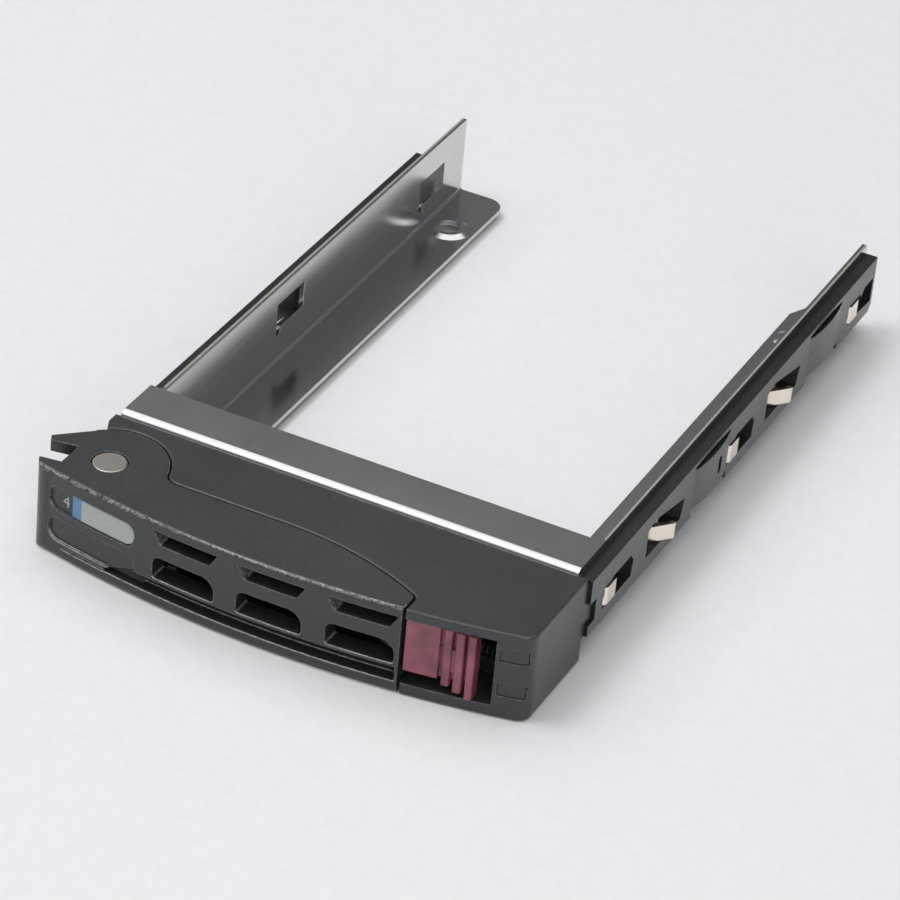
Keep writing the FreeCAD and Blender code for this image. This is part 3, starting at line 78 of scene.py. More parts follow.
class Graph:
    """A node tree with short calls that add nodes and join their sockets."""

    def __init__(self, tree: bpy.types.NodeTree) -> None:
        """Take a tree and empty it.

        Args:
            tree: Tree of a material, a node group or the world.
        """
        self.tree = tree
        self.tree.nodes.clear()

    def add(self, kind: str, inputs: dict | None = None, **settings: object) -> bpy.types.Node:
        """Add a node, set its properties, and set or join its inputs.

        Args:
            kind: Blender's name of the node type.
            inputs: Value or output socket for each input, by name or number.
            **settings: Properties of the node itself.

        Returns:
            The new node.
        """
        node = self.tree.nodes.new(kind)
        for name, value in settings.items():
            setattr(node, name, value)
        for key, value in (inputs or {}).items():
            if isinstance(value, bpy.types.NodeSocket):
                self.tree.links.new(value, node.inputs[key])
            else:
                node.inputs[key].default_value = value
        return node

    def place(self) -> bpy.types.NodeSocket:
        """Return the socket that gives a point's place on its object."""
        return self.add("ShaderNodeTexCoord").outputs["Object"]

    def noise(self, scale: Value, detail: float = 2.0,
              vector: bpy.types.NodeSocket | None = None) -> bpy.types.NodeSocket:
        """Add cloudy noise.

        Args:
            scale: Blobs per metre, as a number or a socket.
            detail: Octaves of finer noise.
            vector: Place to read, or None for the place on the object.

        Returns:
            A value from 0 to 1.
        """
        where = vector if vector is not None else self.place()
        node = self.add("ShaderNodeTexNoise", {"Vector": where, "Scale": scale, "Detail": detail})
        return node.outputs[0]

    def stretched(self, factors: tuple[float, float, float]) -> bpy.types.NodeSocket:
        """Return the place on the object, scaled differently along each axis."""
        node = self.add("ShaderNodeMapping", {"Vector": self.place(), "Scale": factors})
        return node.outputs[0]

    def remap(self, value: bpy.types.NodeSocket, low: float, high: float,
              to_low: Value = 0.0, to_high: Value = 1.0) -> bpy.types.NodeSocket:
        """Map one range of values onto another and clamp it.

        Args:
            value: Socket to read.
            low: Value that becomes to_low.
            high: Value that becomes to_high.
            to_low: Lowest result, a number or a socket.
            to_high: Highest result, a number or a socket.

        Returns:
            The mapped value.
        """
        node = self.add("ShaderNodeMapRange", {"Value": value, "From Min": low, "From Max": high,
                                               "To Min": to_low, "To Max": to_high})
        return node.outputs[0]

    def maths(self, operation: str, first: Value, second: Value) -> bpy.types.NodeSocket:
        """Join two values with one sum, such as ADD, MULTIPLY or MAXIMUM."""
        node = self.add("ShaderNodeMath", {0: first, 1: second}, operation=operation)
        return node.outputs[0]

    def part(self, vector: bpy.types.NodeSocket, axis: str) -> bpy.types.NodeSocket:
        """Return one part of a vector, by the name of its axis."""
        return self.add("ShaderNodeSeparateXYZ", {0: vector}).outputs[axis]

    def facing(self) -> bpy.types.NodeSocket:
        """Return the socket that gives the way a face looks."""
        return self.add("ShaderNodeNewGeometry").outputs["Normal"]

    def both(self, *masks: Value) -> bpy.types.NodeSocket:
        """Multiply masks, so that what is left lies in all of them.

        Args:
            *masks: Values or sockets, two or more.

        Returns:
            The masks' product.
        """
        left = masks[0]
        for mask in masks[1:]:
            left = self.maths("MULTIPLY", left, mask)
        return left

    def blend(self, factor: bpy.types.NodeSocket, first: Tint,
              second: Tint) -> bpy.types.NodeSocket:
        """Mix two colours.

        Args:
            factor: 0 for the first colour, 1 for the second.
            first: Colour or socket.
            second: Colour or socket.

        Returns:
            The mixed colour.
        """
        node = self.add("ShaderNodeMix", data_type="RGBA")
        self.tree.links.new(factor, node.inputs[0])
        for index, value in ((6, first), (7, second)):
            if isinstance(value, bpy.types.NodeSocket):
                self.tree.links.new(value, node.inputs[index])
            else:
                node.inputs[index].default_value = (*value, 1.0)
        return node.outputs[2]

    def effect(self, effect: "Effect", **inputs: Value) -> bpy.types.Node:
        """Place a shared effect with its own values.

        Args:
            effect: Which effect.
            **inputs: Value or socket for each of the effect's inputs.

        Returns:
            The group node.
        """
        node = self.add("ShaderNodeGroup", node_tree=effect.group())
        for name, value in inputs.items():
            socket = node.inputs[name.replace("_", " ").capitalize()]
            if isinstance(value, bpy.types.NodeSocket):
                self.tree.links.new(value, socket)
            else:
                socket.default_value = value
        return node


class Effect(Enum):
    """Surface effects that several finishes share, each built once as a node group."""

    MOULD_GRAIN = "mould_grain"
    SOFT_TONE = "soft_tone"
    # Edge marks: abrasion, and painted highlights on edges.
    EDGE_MARKS_AND_GLINT = "edge_marks_and_glint"
    DUST = "settled_dust"
    ROLLED_LINES = "rolled_lines"
    # Painted sheen on faces that look sideways, streaked along the bay.
    SIDE_SHEEN = "painted_side_sheen"

    def group(self) -> bpy.types.NodeTree:
        """Find the effect's node group, and build it when it is first asked for.

        Returns:
            The node group.
        """
        found = bpy.data.node_groups.get(self.value)
        if found is None:
            found = bpy.data.node_groups.new(self.value, "ShaderNodeTree")
            getattr(self, "_" + self.value)(found)
        return found

    @staticmethod
    def _sockets(tree: bpy.types.NodeTree, inputs: dict[str, float],
                 outputs: tuple[str, ...]) -> tuple[Graph, dict, bpy.types.Node]:
        """Give a group its sockets.

        Args:
            tree: The new group.
            inputs: Name and default value of each input.
            outputs: Names of the outputs, all values except one called Normal.

        Returns:
            The graph, the input sockets by name, and the group's output node.
        """
        for name, value in inputs.items():
            socket = tree.interface.new_socket(name=name, in_out="INPUT",
                                               socket_type="NodeSocketFloat")
            socket.default_value = value
        for name in outputs:
            kind = "NodeSocketVector" if name == "Normal" else "NodeSocketFloat"
            tree.interface.new_socket(name=name, in_out="OUTPUT", socket_type=kind)
        graph = Graph(tree)
        given = graph.add("NodeGroupInput").outputs
        return graph, given, graph.add("NodeGroupOutput")

    def _mould_grain(self, tree: bpy.types.NodeTree) -> None:
        """Build the fine matt texture that a spark-eroded mould leaves.

        Args:
            tree: The new group.
        """
        graph, given, result = self._sockets(tree, {"Scale": 3500.0}, ("Height", "Tone"))
        fine = graph.noise(given["Scale"], 3.0)
        pits = graph.add("ShaderNodeTexVoronoi", {
            "Vector": graph.place(), "Scale": given["Scale"]}).outputs["Distance"]
        height = graph.maths("ADD", fine, graph.maths("MULTIPLY", pits, 0.6))
        tree.links.new(height, result.inputs["Height"])
        tree.links.new(graph.remap(fine, 0.3, 0.7), result.inputs["Tone"])

    def _soft_tone(self, tree: bpy.types.NodeTree) -> None:
        """Build slow cloudy change, for roughness and for faint stains.

        Args:
            tree: The new group.
        """
        graph, given, result = self._sockets(
            tree, {"Scale": 60.0, "Low": 0.3, "High": 0.4}, ("Value",))
        cloud = graph.noise(given["Scale"], 4.0)
        value = graph.remap(cloud, 0.32, 0.68, given["Low"], given["High"])
        tree.links.new(value, result.inputs["Value"])

    def _edge_marks_and_glint(self, tree: bpy.types.NodeTree) -> None:
        """Build masks of light edges, partly abrasion and partly painted highlight, and a normal
        that softens sharp ones.

        Mask holds all edges, and Rim adds rounded ones that look forwards and up, as a painted
        highlight.
        Crest holds only the edges that look up, for a painted glint.

        Args:
            tree: The new group.
        """
        graph, given, result = self._sockets(
            tree, {"Radius": 0.0002, "Amount": 0.5, "Rim": 0.0}, ("Mask", "Crest", "Normal"))
        bevel = graph.add("ShaderNodeBevel", {"Radius": given["Radius"]}, samples=4)
        flat = graph.facing()
        turned = graph.add("ShaderNodeVectorMath", {0: bevel.outputs[0], 1: flat},
                           operation="DOT_PRODUCT").outputs["Value"]
        edge = graph.remap(turned, 0.985, 0.8)
        lean = graph.part(bevel.outputs[0], "Z")
        # Crest: edges that lean up, broken by noise, for a painted glint.
        glint_breakup = graph.remap(graph.noise(1300.0, 4.0), 0.34, 0.56, 0.3, 1.0)
        crest = graph.both(graph.remap(lean, 0.1, 0.4), graph.remap(lean, 0.98, 0.88), edge, glint_breakup)
        tree.links.new(crest, result.inputs["Crest"])
        up = graph.part(flat, "Z")
        # Rounded faces that look forwards and up: a painted highlight, scaled by Rim.
        rounded = graph.both(graph.remap(up, 0.3, 0.6), graph.remap(up, 0.96, 0.86), given["Rim"])
        edge = graph.maths("MAXIMUM", edge, rounded)
        broken = graph.remap(graph.noise(2600.0, 4.0), 0.36, 0.60)
        mask = graph.both(edge, broken, given["Amount"])
        tree.links.new(mask, result.inputs["Mask"])
        tree.links.new(bevel.outputs[0], result.inputs["Normal"])

    def _settled_dust(self, tree: bpy.types.NodeTree) -> None:
        """Build a mask of fine dust and lint on faces that look upwards.

        Args:
            tree: The new group.
        """
        graph, given, result = self._sockets(tree, {"Scale": 1400.0, "Cover": 0.1}, ("Mask",))
        up = graph.part(graph.facing(), "Z")
        specks = graph.remap(graph.noise(given["Scale"], 2.0), 0.66, 0.74)
        haze = graph.remap(graph.noise(40.0, 3.0), 0.4, 0.7, 0.0, 0.35)
        layer = graph.maths("MAXIMUM", specks, haze)
        mask = graph.both(layer, graph.remap(up, 0.1, 0.9), given["Cover"])
        tree.links.new(mask, result.inputs["Mask"])

    def _painted_side_sheen(self, tree: bpy.types.NodeTree) -> None:
        """Build a streaky mask of faces that look sideways, for a painted sheen on them, streaked
        as by sliding along the bay.

        Args:
            tree: The new group.
        """
        graph, given, result = self._sockets(tree, {"Scale": 1.0}, ("Mask",))
        across = graph.part(graph.facing(), "X")
        sideways = graph.remap(graph.both(across, across), 0.5, 0.9)
        lines = graph.noise(given["Scale"], 4.0, graph.stretched((900.0, 50.0, 900.0)))
        streaks = graph.remap(lines, 0.35, 0.65, 0.7, 1.0)
        tree.links.new(graph.both(sideways, streaks), result.inputs["Mask"])

    def _rolled_lines(self, tree: bpy.types.NodeTree) -> None:
        """Build the faint long lines that rolling leaves along sheet metal.

        Args:
            tree: The new group.
        """
        graph, given, result = self._sockets(tree, {"Width": 1.0}, ("Height", "Tone"))
        lines = graph.noise(given["Width"], 3.0, graph.stretched((2600.0, 60.0, 2600.0)))
        tree.links.new(lines, result.inputs["Height"])
        tree.links.new(graph.remap(lines, 0.3, 0.7), result.inputs["Tone"])


@dataclass(frozen=True)
class Finish:
    """What every finish has: a name, a colour and how rough it is."""

    name: str
    colour: Colour
    roughness: float

    def start(self) -> tuple[bpy.types.Material, Graph]:
        """Make an empty material.

        Returns:
            The material and its graph.
        """
        material = bpy.data.materials.new(self.name)
        material.use_nodes = True
        return material, Graph(material.node_tree)

    def close(self, graph: Graph, inputs: dict) -> None:
        """Add the Principled shader and the output.

        Args:
            graph: The material's graph.
            inputs: Value or socket for each input of the shader.
        """
        shader = graph.add("ShaderNodeBsdfPrincipled", inputs)
        graph.add("ShaderNodeOutputMaterial", {"Surface": shader.outputs[0]})


@dataclass(frozen=True)
class MouldedPlastic(Finish):
    """Moulded plastic with a fine grain, light edges (partly abrasion, partly painted highlight)
    and a little dust.

    Where they are set, deep is a cloudy second colour; another colour is a painted sheen on faces
    that look sideways, streaked as by sliding along the bay; and a third is a painted glint on
    edges which look up, below a height.
    """

    grain: float = 3500.0
    depth: float = 0.012 * MM
    softening: float = 0.12 * MM
    # Light edges: partly abrasion, partly painted highlight; rim adds a painted highlight on
    # rounded edges.
    rubbing_and_glint_amount: float = 0.35
    rubbing_and_glint_tone: Colour = (0.16, 0.16, 0.17)
    rim: float = 0.0
    dust: float = 0.10
    coat: float = 0.0
    reflectance: float = 0.5
    deep: Colour | None = None
    # Colour of the painted sheen on faces that look sideways.
    sideways_sheen: Colour | None = None
    # Colour and height limit of a painted glint on edges that look up.
    low_edge_glint: Colour | None = None
    glint_below: float = 0.0

    def build(self) -> bpy.types.Material:
        """Build the finish.

        Returns:
            Its material.
        """
        material, graph = self.start()
        grain = graph.effect(Effect.MOULD_GRAIN, scale=self.grain)
        edge = graph.effect(Effect.EDGE_MARKS_AND_GLINT, radius=self.softening, amount=self.rubbing_and_glint_amount,
                            rim=self.rim)
        dust = graph.effect(Effect.DUST, cover=self.dust)
        tone = graph.effect(Effect.SOFT_TONE, scale=70.0, low=self.roughness - 0.04,
                            high=self.roughness + 0.05)
        lighter = tuple(min(1.0, 1.18 * part + 0.002) for part in self.colour)
        colour = graph.blend(grain.outputs["Tone"], self.colour, lighter)
        if self.deep is not None:
            cloud = graph.effect(Effect.SOFT_TONE, scale=260.0, low=0.0, high=0.8)
            colour = graph.blend(cloud.outputs["Value"], colour, self.deep)
        # Painted sheen: faces that look sideways take a lighter, streaked colour.
        if self.sideways_sheen is not None:
            sheen_mask = graph.effect(Effect.SIDE_SHEEN)
            colour = graph.blend(sheen_mask.outputs["Mask"], colour, self.sideways_sheen)
        # Light edge colour: abrasion and a painted highlight.
        colour = graph.blend(edge.outputs["Mask"], colour, self.rubbing_and_glint_tone)
        # Painted glint on edges that look up, below a height.
        if self.low_edge_glint is not None:
            height = graph.part(graph.place(), "Z")
            low = graph.remap(height, self.glint_below, self.glint_below - 0.3 * MM)
            colour = graph.blend(graph.both(edge.outputs["Crest"], low), colour, self.low_edge_glint)
        colour = graph.blend(dust.outputs["Mask"], colour, PLASTIC_DUST)
        roughness = graph.maths("ADD", tone.outputs["Value"],
                                graph.maths("MULTIPLY", dust.outputs["Mask"], 0.5))
        bump = graph.add("ShaderNodeBump", {
            "Height": grain.outputs["Height"], "Normal": edge.outputs["Normal"],
            "Strength": 0.6, "Distance": self.depth})
        self.close(graph, {
            "Base Color": colour, "Roughness": roughness, "Normal": bump.outputs[0],
            "Specular IOR Level": self.reflectance, "Coat Weight": self.coat,
            "Coat Roughness": 0.12})
        return material


@dataclass(frozen=True)
class BareMetal(Finish):
    """Bare metal with rolled lines, dull patches and bright edges, partly abrasion and partly
    painted highlight.

    Where they are set, a painted warm reflection colours the tabs past tab_start to the right, and
    sheared is the colour of the cut edges outside, behind and above the three places that follow
    it.
    """

    lines: float = 1.0
    depth: float = 0.004 * MM
    softening: float = 0.08 * MM
    # Amount of bright edges: abrasion and a painted highlight.
    rubbing_and_glint_amount: float = 0.5
    dull: float = 0.8
    dust: float = 0.05
    relief: float = 0.3
    # A painted warm reflection on the bent tabs.
    tab_reflection: Colour | None = None
    tab_start: float = 0.0
    sheared: Colour | None = None
    sheared_beyond: float = 0.0
    sheared_behind: float = 0.0
    sheared_above: float = 0.0

    def build(self) -> bpy.types.Material:
        """Build the finish.

        Returns:
            Its material.
        """
        material, graph = self.start()
        lines = graph.effect(Effect.ROLLED_LINES, width=self.lines)
        edge = graph.effect(Effect.EDGE_MARKS_AND_GLINT, radius=self.softening, amount=self.rubbing_and_glint_amount)
        dust = graph.effect(Effect.DUST, cover=self.dust)
        tone = graph.effect(Effect.SOFT_TONE, scale=45.0, low=0.0, high=1.0)
        darker = tuple(self.dull * part for part in self.colour)
        bright = tuple(min(1.0, 1.2 * part) for part in self.colour)
        streaks = graph.maths("MULTIPLY", lines.outputs["Tone"], 0.35)
        stain = graph.maths("MULTIPLY", tone.outputs["Value"], 0.45)
        colour = graph.blend(graph.maths("ADD", streaks, stain), self.colour, darker)
        # Brighter edges: abrasion and a painted highlight.
        colour = graph.blend(edge.outputs["Mask"], colour, bright)
        # Painted warm reflection on the tabs past tab_start, streaked along the rolled lines.
        if self.tab_reflection is not None:
            across = graph.part(graph.place(), "X")
            beyond = graph.remap(across, self.tab_start, self.tab_start + 0.4 * MM)
            rubbing_and_glint_tone = graph.remap(lines.outputs["Tone"], 0.0, 1.0, 0.75, 1.0)
            colour = graph.blend(graph.both(beyond, rubbing_and_glint_tone), colour, self.tab_reflection)
        colour = graph.blend(dust.outputs["Mask"], colour, METAL_DUST)
        roughness = graph.remap(graph.maths("ADD", streaks, stain), 0.0, 0.8,
                                self.roughness * 0.8, self.roughness * 1.3)
        if self.sheared is not None:
            mask = self.sheared_mask(graph)
            colour = graph.blend(mask, colour, self.sheared)
            roughness = graph.maths("MAXIMUM", roughness, graph.maths("MULTIPLY", mask, 0.6))
        bump = graph.add("ShaderNodeBump", {
            "Height": lines.outputs["Height"], "Normal": edge.outputs["Normal"],
            "Strength": self.relief, "Distance": self.depth})
        self.close(graph, {
            "Base Color": colour, "Roughness": roughness, "Metallic": 1.0,
            "Normal": bump.outputs[0]})
        return material

    def sheared_mask(self, graph: Graph) -> bpy.types.NodeSocket:
        """Build a mask of the cut edges on top of the walls.

        Args:
            graph: The material's graph.

        Returns:
            1 on a cut edge and 0 elsewhere.
        """
        place = graph.add("ShaderNodeSeparateXYZ", {0: graph.place()}).outputs
        across = graph.maths("ABSOLUTE", place["X"], 0.0)
        outside = graph.remap(across, self.sheared_beyond, self.sheared_beyond + 0.1 * MM)
        behind = graph.remap(place["Y"], self.sheared_behind, self.sheared_behind + 0.5 * MM)
        high = graph.remap(place["Z"], self.sheared_above - 0.2 * MM, self.sheared_above)
        upwards = graph.remap(graph.part(graph.facing(), "Z"), 0.9, 0.97)
        return graph.both(outside, behind, high, upwards)


@dataclass(frozen=True)
class PrintedFilm(Finish):
    """Printed film of a label, with a faint weave, scuffs and a clear top."""

    shade: float = 0.8
    weave: float = 5000.0

    def build(self) -> bpy.types.Material:
        """Build the finish.

        Returns:
            Its material.
        """
        material, graph = self.start()
        grain = graph.effect(Effect.MOULD_GRAIN, scale=self.weave)
        tone = graph.effect(Effect.SOFT_TONE, scale=300.0, low=self.roughness - 0.08,
                            high=self.roughness + 0.08)
        edge = graph.effect(Effect.EDGE_MARKS_AND_GLINT, radius=0.1 * MM, amount=0.4)
        shaded = tuple(self.shade * part for part in self.colour)
        colour = graph.blend(tone.outputs["Value"], self.colour, shaded)
        colour = graph.blend(edge.outputs["Mask"], colour, SCUFFED_FILM)
        bump = graph.add("ShaderNodeBump", {
            "Height": grain.outputs["Height"], "Normal": edge.outputs["Normal"],
            "Strength": 0.3, "Distance": 0.006 * MM})
        self.close(graph, {
            "Base Color": colour, "Roughness": tone.outputs["Value"],
            "Normal": bump.outputs[0], "Coat Weight": 0.4, "Coat Roughness": 0.15})
        return material


# The black moulding's light edges, rim and low edge colour are painted highlights.
BLACK = MouldedPlastic("black_moulding", (0.019, 0.020, 0.023), 0.30, softening=0.32 * MM,
                       rubbing_and_glint_amount=0.75, rim=1.0, rubbing_and_glint_tone=(0.32, 0.32, 0.33), dust=0.05,
                       reflectance=0.66, low_edge_glint=(0.85, 0.85, 0.87), glint_below=4.3 * MM)
# The bezel keeps the painted edge highlight, weaker, without the low glint.
BEZEL_BLACK = replace(BLACK, name="bezel_moulding", rim=0.2, rubbing_and_glint_amount=0.45, low_edge_glint=None)
# The rails' sideways faces take a lighter painted sheen, and their edges a weak painted highlight.
RAIL_BLACK = MouldedPlastic("rail_moulding", (0.011, 0.011, 0.012), 0.27, rubbing_and_glint_amount=0.5,
                            rim=0.15, dust=0.03, reflectance=0.6,
                            sideways_sheen=(0.066, 0.066, 0.069))
RED = MouldedPlastic("red_button", (0.25, 0.062, 0.088), 0.25, grain=5000.0,
                     depth=0.004 * MM, rubbing_and_glint_tone=(0.5, 0.16, 0.2), dust=0.05, coat=0.4,
                     deep=(0.11, 0.022, 0.035))
SMOKED = MouldedPlastic("smoked_pipe", (0.018, 0.019, 0.022), 0.22, grain=5000.0,
                        depth=0.003 * MM, softening=0.08 * MM, dust=0.03, coat=0.3)
# The warm tab colour is a painted reflection.
SHEET = BareMetal("bright_sheet_steel", (0.68, 0.677, 0.672), 0.18, dull=0.84,
                  depth=0.0006 * MM, softening=0.1 * MM, rubbing_and_glint_amount=0.6, relief=0.1,
                  tab_reflection=(0.94, 0.86, 0.73), tab_start=36.6 * MM,
                  sheared=(0.50, 0.47, 0.43), sheared_beyond=35.5 * MM,
                  sheared_behind=-47.5 * MM, sheared_above=13.8 * MM)
PIN = BareMetal("pin_steel", (0.50, 0.47, 0.43), 0.32, lines=2.0, dull=0.7)
SPRING = BareMetal("spring_wire", (0.42, 0.41, 0.40), 0.25, lines=3.0)
OILED = BareMetal("oiled_wire", (0.045, 0.045, 0.046), 0.45, lines=3.0)
SCREW = BareMetal("screw_steel", (0.50, 0.50, 0.50), 0.22, lines=2.0)
WHITE = PrintedFilm("pale_film", (0.36, 0.38, 0.37), 0.35, shade=0.92)
BLUE = PrintedFilm("blue_film", (0.085, 0.22, 0.41), 0.35, shade=0.8)


class Wardrobe:
    """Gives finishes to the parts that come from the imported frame."""

    def __init__(self) -> None:
        """Start with no material built."""
        self._built: dict[str, bpy.types.Material] = {}

    def material(self, finish: Finish) -> bpy.types.Material:
        """Find a finish's material, and build it when it is first asked for.

        Args:
            finish: The finish.

        Returns:
            Its material.
        """
        if finish.name not in self._built:
            self._built[finish.name] = finish.build()
        return self._built[finish.name]

    def dress(self, node: str, finish: Finish) -> None:
        """Put a finish on a part of the frame.

        Args:
            node: Name of the part.
            finish: Its finish.
        """
        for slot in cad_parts[node].material_slots:
            slot.material = self.material(finish)
        log.info("%s dressed in %s", node, finish.name)


def add_piece(name: str, mesh: bpy.types.Mesh, body: str,
              material: bpy.types.Material) -> bpy.types.Object:
    """Put a new mesh into the scene as a piece of the caddy.

    Args:
        name: Name of the piece.
        mesh: Its mesh, already in place.
        body: Body that it moves with.
        material: Its finish.

    Returns:
        The new object.
    """
    piece = bpy.data.objects.new(name, mesh)
    bpy.context.scene.collection.objects.link(piece)
    mesh.materials.append(material)
    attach(piece, body)
    log.info("%s added with %d faces", name, len(mesh.polygons))
    return piece


@dataclass
class Tray:
    """Steel frame, its two slide rails and the screws behind the bezel."""

    wardrobe: Wardrobe
    head_radius: float = 1.9 * MM
    head_height: float = 1.2 * MM
    shank_radius: float = 1.0 * MM
    recess_radius: float = 1.05 * MM
    recess_depth: float = 0.6 * MM
    lobes: int = 6
    lobe_waist: float = 0.78
    rounding: float = 0.35 * MM
    rounding_steps: int = 4
    head_sides: int = 48
    shank_sides: int = 24
    turns: tuple[float, ...] = (11.0, 34.0, 52.0)

    def build(self) -> None:
        """Dress the frame's parts and add the detailed screws."""
        self.wardrobe.dress("tray_frame", SHEET)
        for node in ("left_rail", "right_rail"):
            self.wardrobe.dress(node, RAIL_BLACK)
        screws = add_piece("star_screws", self.screws_mesh(), "tray",
                           self.wardrobe.material(SCREW))
        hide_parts("bezel_screws")

    def screw_axes(self) -> list[float]:
        """Find the screws' axes from the solids.

        Returns:
            The place of each axis across the tray.
        """
        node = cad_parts["bezel_screws"]
        places = sorted((node.matrix_world @ vertex.co).x for vertex in node.data.vertices)
        groups = [[places[0]]]
        for place in places[1:]:
            if place - groups[-1][-1] > self.head_radius:
                groups.append([])
            groups[-1].append(place)
        return [(group[0] + group[-1]) / 2 for group in groups]

    def screws_mesh(self) -> bpy.types.Mesh:
        """Build round-headed screws with a six-lobed recess, in their places.

        Returns:
            The mesh of all the screws.
        """
        low, high = (Vector(corner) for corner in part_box("bezel_screws"))
        shape = bmesh.new()
        for axis, turn in zip(self.screw_axes(), self.turns):
            screw = bmesh.new()
            self.add_head(screw)
            self.add_shank(screw, high.y - low.y - self.head_height)
            place = Matrix.Translation((axis, high.y - self.head_height, (low.z + high.z) / 2))
            face_back = Matrix.Rotation(math.radians(-90.0), 4, "X")
            spin = Matrix.Rotation(math.radians(turn), 4, "Z")
            bmesh.ops.transform(screw, matrix=place @ face_back @ spin, verts=screw.verts)
            part = bpy.data.meshes.new("screw_part")
            screw.to_mesh(part)
            screw.free()
            shape.from_mesh(part)
            bpy.data.meshes.remove(part)
        mesh = bpy.data.meshes.new("star_screws")
        shape.to_mesh(mesh)
        shape.free()
        return mesh

    def add_head(self, screw: bmesh.types.BMesh) -> None:
        """Add a head with its foot at zero and its recess on top.

        Args:
            screw: Mesh of the screw.
        """
        lift = Matrix.Translation((0.0, 0.0, self.head_height / 2))
        bmesh.ops.create_cone(screw, cap_ends=True, segments=self.head_sides,
                              radius1=self.head_radius, radius2=self.head_radius,
                              depth=self.head_height, matrix=lift)
        top = max(screw.faces, key=lambda face: face.calc_center_median().z)
        bmesh.ops.bevel(screw, geom=list(top.edges), offset=self.rounding,
                        segments=self.rounding_steps, profile=0.5, affect="EDGES", material=-1)
        top = max(screw.faces, key=lambda face: (round(face.calc_center_median().z, 7),
                                                 face.calc_area()))
        rim = self.head_radius - self.rounding - self.recess_radius
        bmesh.ops.inset_region(screw, faces=[top], thickness=rim)
        for vertex in top.verts:
            angle = math.atan2(vertex.co.y, vertex.co.x)
            pull = (1.0 + math.cos(self.lobes * angle)) / 2
            share = self.lobe_waist + (1.0 - self.lobe_waist) * pull
            vertex.co.x *= share
            vertex.co.y *= share
        sunk = bmesh.ops.extrude_face_region(screw, geom=[top])["geom"]
        drop = [part for part in sunk if isinstance(part, bmesh.types.BMVert)]
        bmesh.ops.translate(screw, vec=(0.0, 0.0, -self.recess_depth), verts=drop)
        if top.is_valid:
            bmesh.ops.delete(screw, geom=[top], context="FACES_ONLY")

    def add_shank(self, screw: bmesh.types.BMesh, length: float) -> None:
        """Add the plain shank below the head.

        Args:
            screw: Mesh of the screw.
            length: Length below the head.
        """
        sink = Matrix.Translation((0.0, 0.0, -length / 2))
        bmesh.ops.create_cone(screw, cap_ends=True, segments=self.shank_sides,
                              radius1=self.shank_radius, radius2=self.shank_radius,
                              depth=length, matrix=sink)


@dataclass
class Bezel:
    """Fixed black front with its light pipes and the red release button."""

    wardrobe: Wardrobe

    def build(self) -> None:
        """Dress the bezel, the light pipes, the button and its spring."""
        self.wardrobe.dress("bezel_body", BEZEL_BLACK)
        for node in ("lower_light_pipe", "upper_light_pipe"):
            self.wardrobe.dress(node, SMOKED)
        self.wardrobe.dress("release_button", RED)
        self.wardrobe.dress("button_spring", OILED)


@dataclass
class LeverArm:
    """Swinging lever with its label, pin, clip, spring and bay number."""

    wardrobe: Wardrobe
    bay_number: str = "4"
    number_height: float = 1.9 * MM
    number_gap: float = 0.55 * MM
    number_lift: float = 0.02 * MM
    cap_share: float = 0.7
    approach: float = 20.0 * MM

    def build(self) -> None:
        """Dress the lever's parts and print the bay number."""
        self.wardrobe.dress("lever", BLACK)
        self.wardrobe.dress("label_white", WHITE)
        self.wardrobe.dress("label_blue", BLUE)
        self.wardrobe.dress("lever_pin", PIN)
        for node in ("pin_clip", "lever_spring"):
            self.wardrobe.dress(node, SPRING)
        self.print_number()

    def print_number(self) -> None:
        """Print the bay's plain number on the recess beside the label."""
        low, high = (Vector(corner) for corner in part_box("label_blue"))
        text = bpy.data.curves.new("bay_number", "FONT")
        text.body = self.bay_number
        text.size = self.number_height / self.cap_share
        text.align_x = "RIGHT"
        text.align_y = "CENTER"
        text.extrude = self.number_lift / 2
        carrier = bpy.data.objects.new("bay_number_text", text)
        mesh = bpy.data.meshes.new_from_object(carrier)
        bpy.data.objects.remove(carrier)
        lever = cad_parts["lever"]
        right = low.x - self.number_gap
        middle = (low.z + high.z) / 2
        half_width = self.number_height / 3
        start = Vector((right - half_width, low.y - self.approach, middle))
        hit, place, normal, _ = lever.ray_cast(start, Vector((0, 1, 0)))
        if not hit:
            raise RuntimeError("the bay number's recess wasn't found")
        across = Vector((0, 0, 1)).cross(normal)
        turn = Matrix((across, Vector((0, 0, 1)), normal)).transposed().to_4x4()
        shift = Matrix.Translation(place + normal * self.number_lift)
        centre = Matrix.Translation((half_width, 0, 0))
        mesh.transform(shift @ turn @ centre)
        add_piece("bay_number", mesh, "lever_arm", self.wardrobe.material(WHITE))


@dataclass(frozen=True)
class Lamp:
    """A square soft lamp, aimed at the caddy."""

    name: str
    direction: tuple[float, float, float]
    distance: float
    size: float
    watts: float

    def build(self, aim: Vector) -> None:
        """Put the lamp into the scene.

        Args:
            aim: Point that it faces.
        """
        data = bpy.data.lights.new(self.name, "AREA")
        data.energy = self.watts
        data.size = self.size
        lamp = bpy.data.objects.new(self.name, data)
        bpy.context.scene.collection.objects.link(lamp)
        towards = Vector(self.direction).normalized()
        lamp.location = aim + towards * self.distance
        lamp.rotation_euler = (-towards).to_track_quat("-Z", "Y").to_euler()
        log.info("%s lit", self.name)


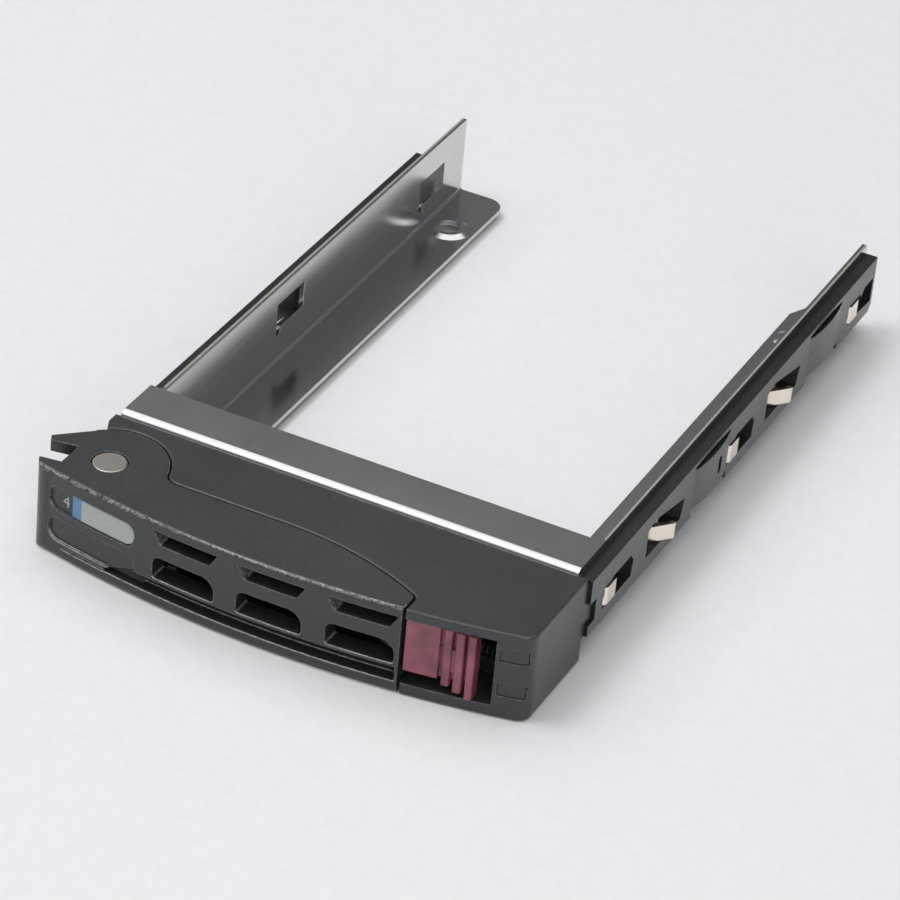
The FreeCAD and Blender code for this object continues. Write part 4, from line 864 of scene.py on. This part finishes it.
@dataclass
class Studio:
    """Pale floor with a low rim all round, soft lamps and a dim ceiling."""

    floor_reach: float = 2.4
    rim_radius: float = 1.6
    rim_turn: float = 40.0
    rim_steps: int = 10
    floor_steps: int = 96
    mottle: float = 0.97
    pale: Colour = (0.78, 0.785, 0.80)
    ceiling: Colour = (0.140, 0.143, 0.155)
    lamps: tuple[Lamp, ...] = (
        Lamp("ceiling_lamp", (-0.22, 0.0, 0.97), 1.2, 2.2, 18.4),
        Lamp("key_lamp", (-0.34, -0.20, 0.92), 1.1, 0.35, 2.8),
        Lamp("fill_lamp", (0.52, -0.78, 0.35), 1.1, 0.8, 4.6),
    )

    def build(self) -> None:
        """Build the floor, the lamps and the world."""
        low, high = (Vector(corner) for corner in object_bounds())
        self.add_floor(low.z)
        aim = (low + high) / 2
        for lamp in self.lamps:
            lamp.build(aim)
        world = bpy.data.worlds.new("studio")
        world.use_nodes = True
        bpy.context.scene.world = world
        graph = Graph(world.node_tree)
        seen = graph.add("ShaderNodeLightPath").outputs["Is Camera Ray"]
        colour = graph.blend(seen, self.ceiling, self.pale)
        sky = graph.add("ShaderNodeBackground", {"Color": colour, "Strength": 1.0})
        graph.add("ShaderNodeOutputWorld", {"Surface": sky.outputs[0]})

    def add_floor(self, height: float) -> None:
        """Spin the floor and its rim from one profile.

        Args:
            height: Level of the floor.
        """
        shape = bmesh.new()
        profile = [shape.verts.new((0.0, 0.0, height)),
                   shape.verts.new((self.floor_reach, 0.0, height))]
        bend = bmesh.ops.spin(
            shape, geom=profile[1:], cent=(self.floor_reach, 0.0, height + self.rim_radius),
            axis=(0.0, -1.0, 0.0), angle=math.radians(self.rim_turn), steps=self.rim_steps,
            use_merge=False)
        edges = list(shape.edges) + [shape.edges.new(profile)]
        bmesh.ops.spin(shape, geom=list(shape.verts) + edges, cent=(0.0, 0.0, 0.0),
                       axis=(0.0, 0.0, 1.0), angle=math.tau, steps=self.floor_steps,
                       use_merge=True)
        bmesh.ops.remove_doubles(shape, verts=shape.verts, dist=0.0005)
        bmesh.ops.recalc_face_normals(shape, faces=shape.faces)
        if sum(face.normal.z for face in shape.faces) < 0:
            bmesh.ops.reverse_faces(shape, faces=shape.faces)
        for face in shape.faces:
            face.smooth = True
        mesh = bpy.data.meshes.new("floor")
        shape.to_mesh(mesh)
        shape.free()
        floor = bpy.data.objects.new("floor", mesh)
        bpy.context.scene.collection.objects.link(floor)
        mesh.materials.append(self.floor_material())
        floor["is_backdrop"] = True
        log.info("floor laid, %d rim points", len(bend["geom_last"]))

    def floor_material(self) -> bpy.types.Material:
        """Build the floor's plain pale material, with a faint mottle.

        Returns:
            The material.
        """
        material = bpy.data.materials.new("studio_floor")
        material.use_nodes = True
        graph = Graph(material.node_tree)
        tone = graph.effect(Effect.SOFT_TONE, scale=500.0, low=0.0, high=1.0)
        dimmer = tuple(self.mottle * part for part in self.pale)
        colour = graph.blend(tone.outputs["Value"], self.pale, dimmer)
        shader = graph.add("ShaderNodeBsdfDiffuse", {"Color": colour})
        graph.add("ShaderNodeOutputMaterial", {"Surface": shader.outputs[0]})
        return material


@dataclass
class Viewpoint:
    """Camera that looks down on the caddy from the front right."""

    azimuth: float = 23.659
    elevation: float = 33.051
    roll: float = 5.521
    distance: float = 0.64536
    aim: Vector = field(default_factory=lambda: Vector((0.002077, -0.027679, 0.006)))
    lens: float = 174.549
    sensor: float = 36.0

    def build(self) -> None:
        """Put the camera into the scene."""
        data = bpy.data.cameras.new("camera")
        data.lens = self.lens
        data.sensor_width = self.sensor
        camera = bpy.data.objects.new("camera", data)
        bpy.context.scene.collection.objects.link(camera)
        turn = (Matrix.Rotation(math.radians(self.azimuth), 4, "Z")
                @ Matrix.Rotation(math.radians(90.0 - self.elevation), 4, "X")
                @ Matrix.Rotation(math.radians(self.roll), 4, "Z"))
        backwards = turn.to_3x3() @ Vector((0.0, 0.0, 1.0))
        camera.matrix_world = Matrix.Translation(self.aim + backwards * self.distance) @ turn
        bpy.context.scene.camera = camera
        log.info("camera placed")


def main() -> None:
    """Build every sub-assembly, the studio and the camera, in order."""
    logging.basicConfig(level=logging.INFO, format="%(name)s: %(message)s")
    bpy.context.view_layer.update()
    wardrobe = Wardrobe()
    for part in (Tray(wardrobe), Bezel(wardrobe), LeverArm(wardrobe), Studio(), Viewpoint()):
        part.build()
        log.info("%s finished", type(part).__name__)
    bpy.context.scene.view_settings.view_transform = "Standard"


if __name__ == "__main__":
    main()
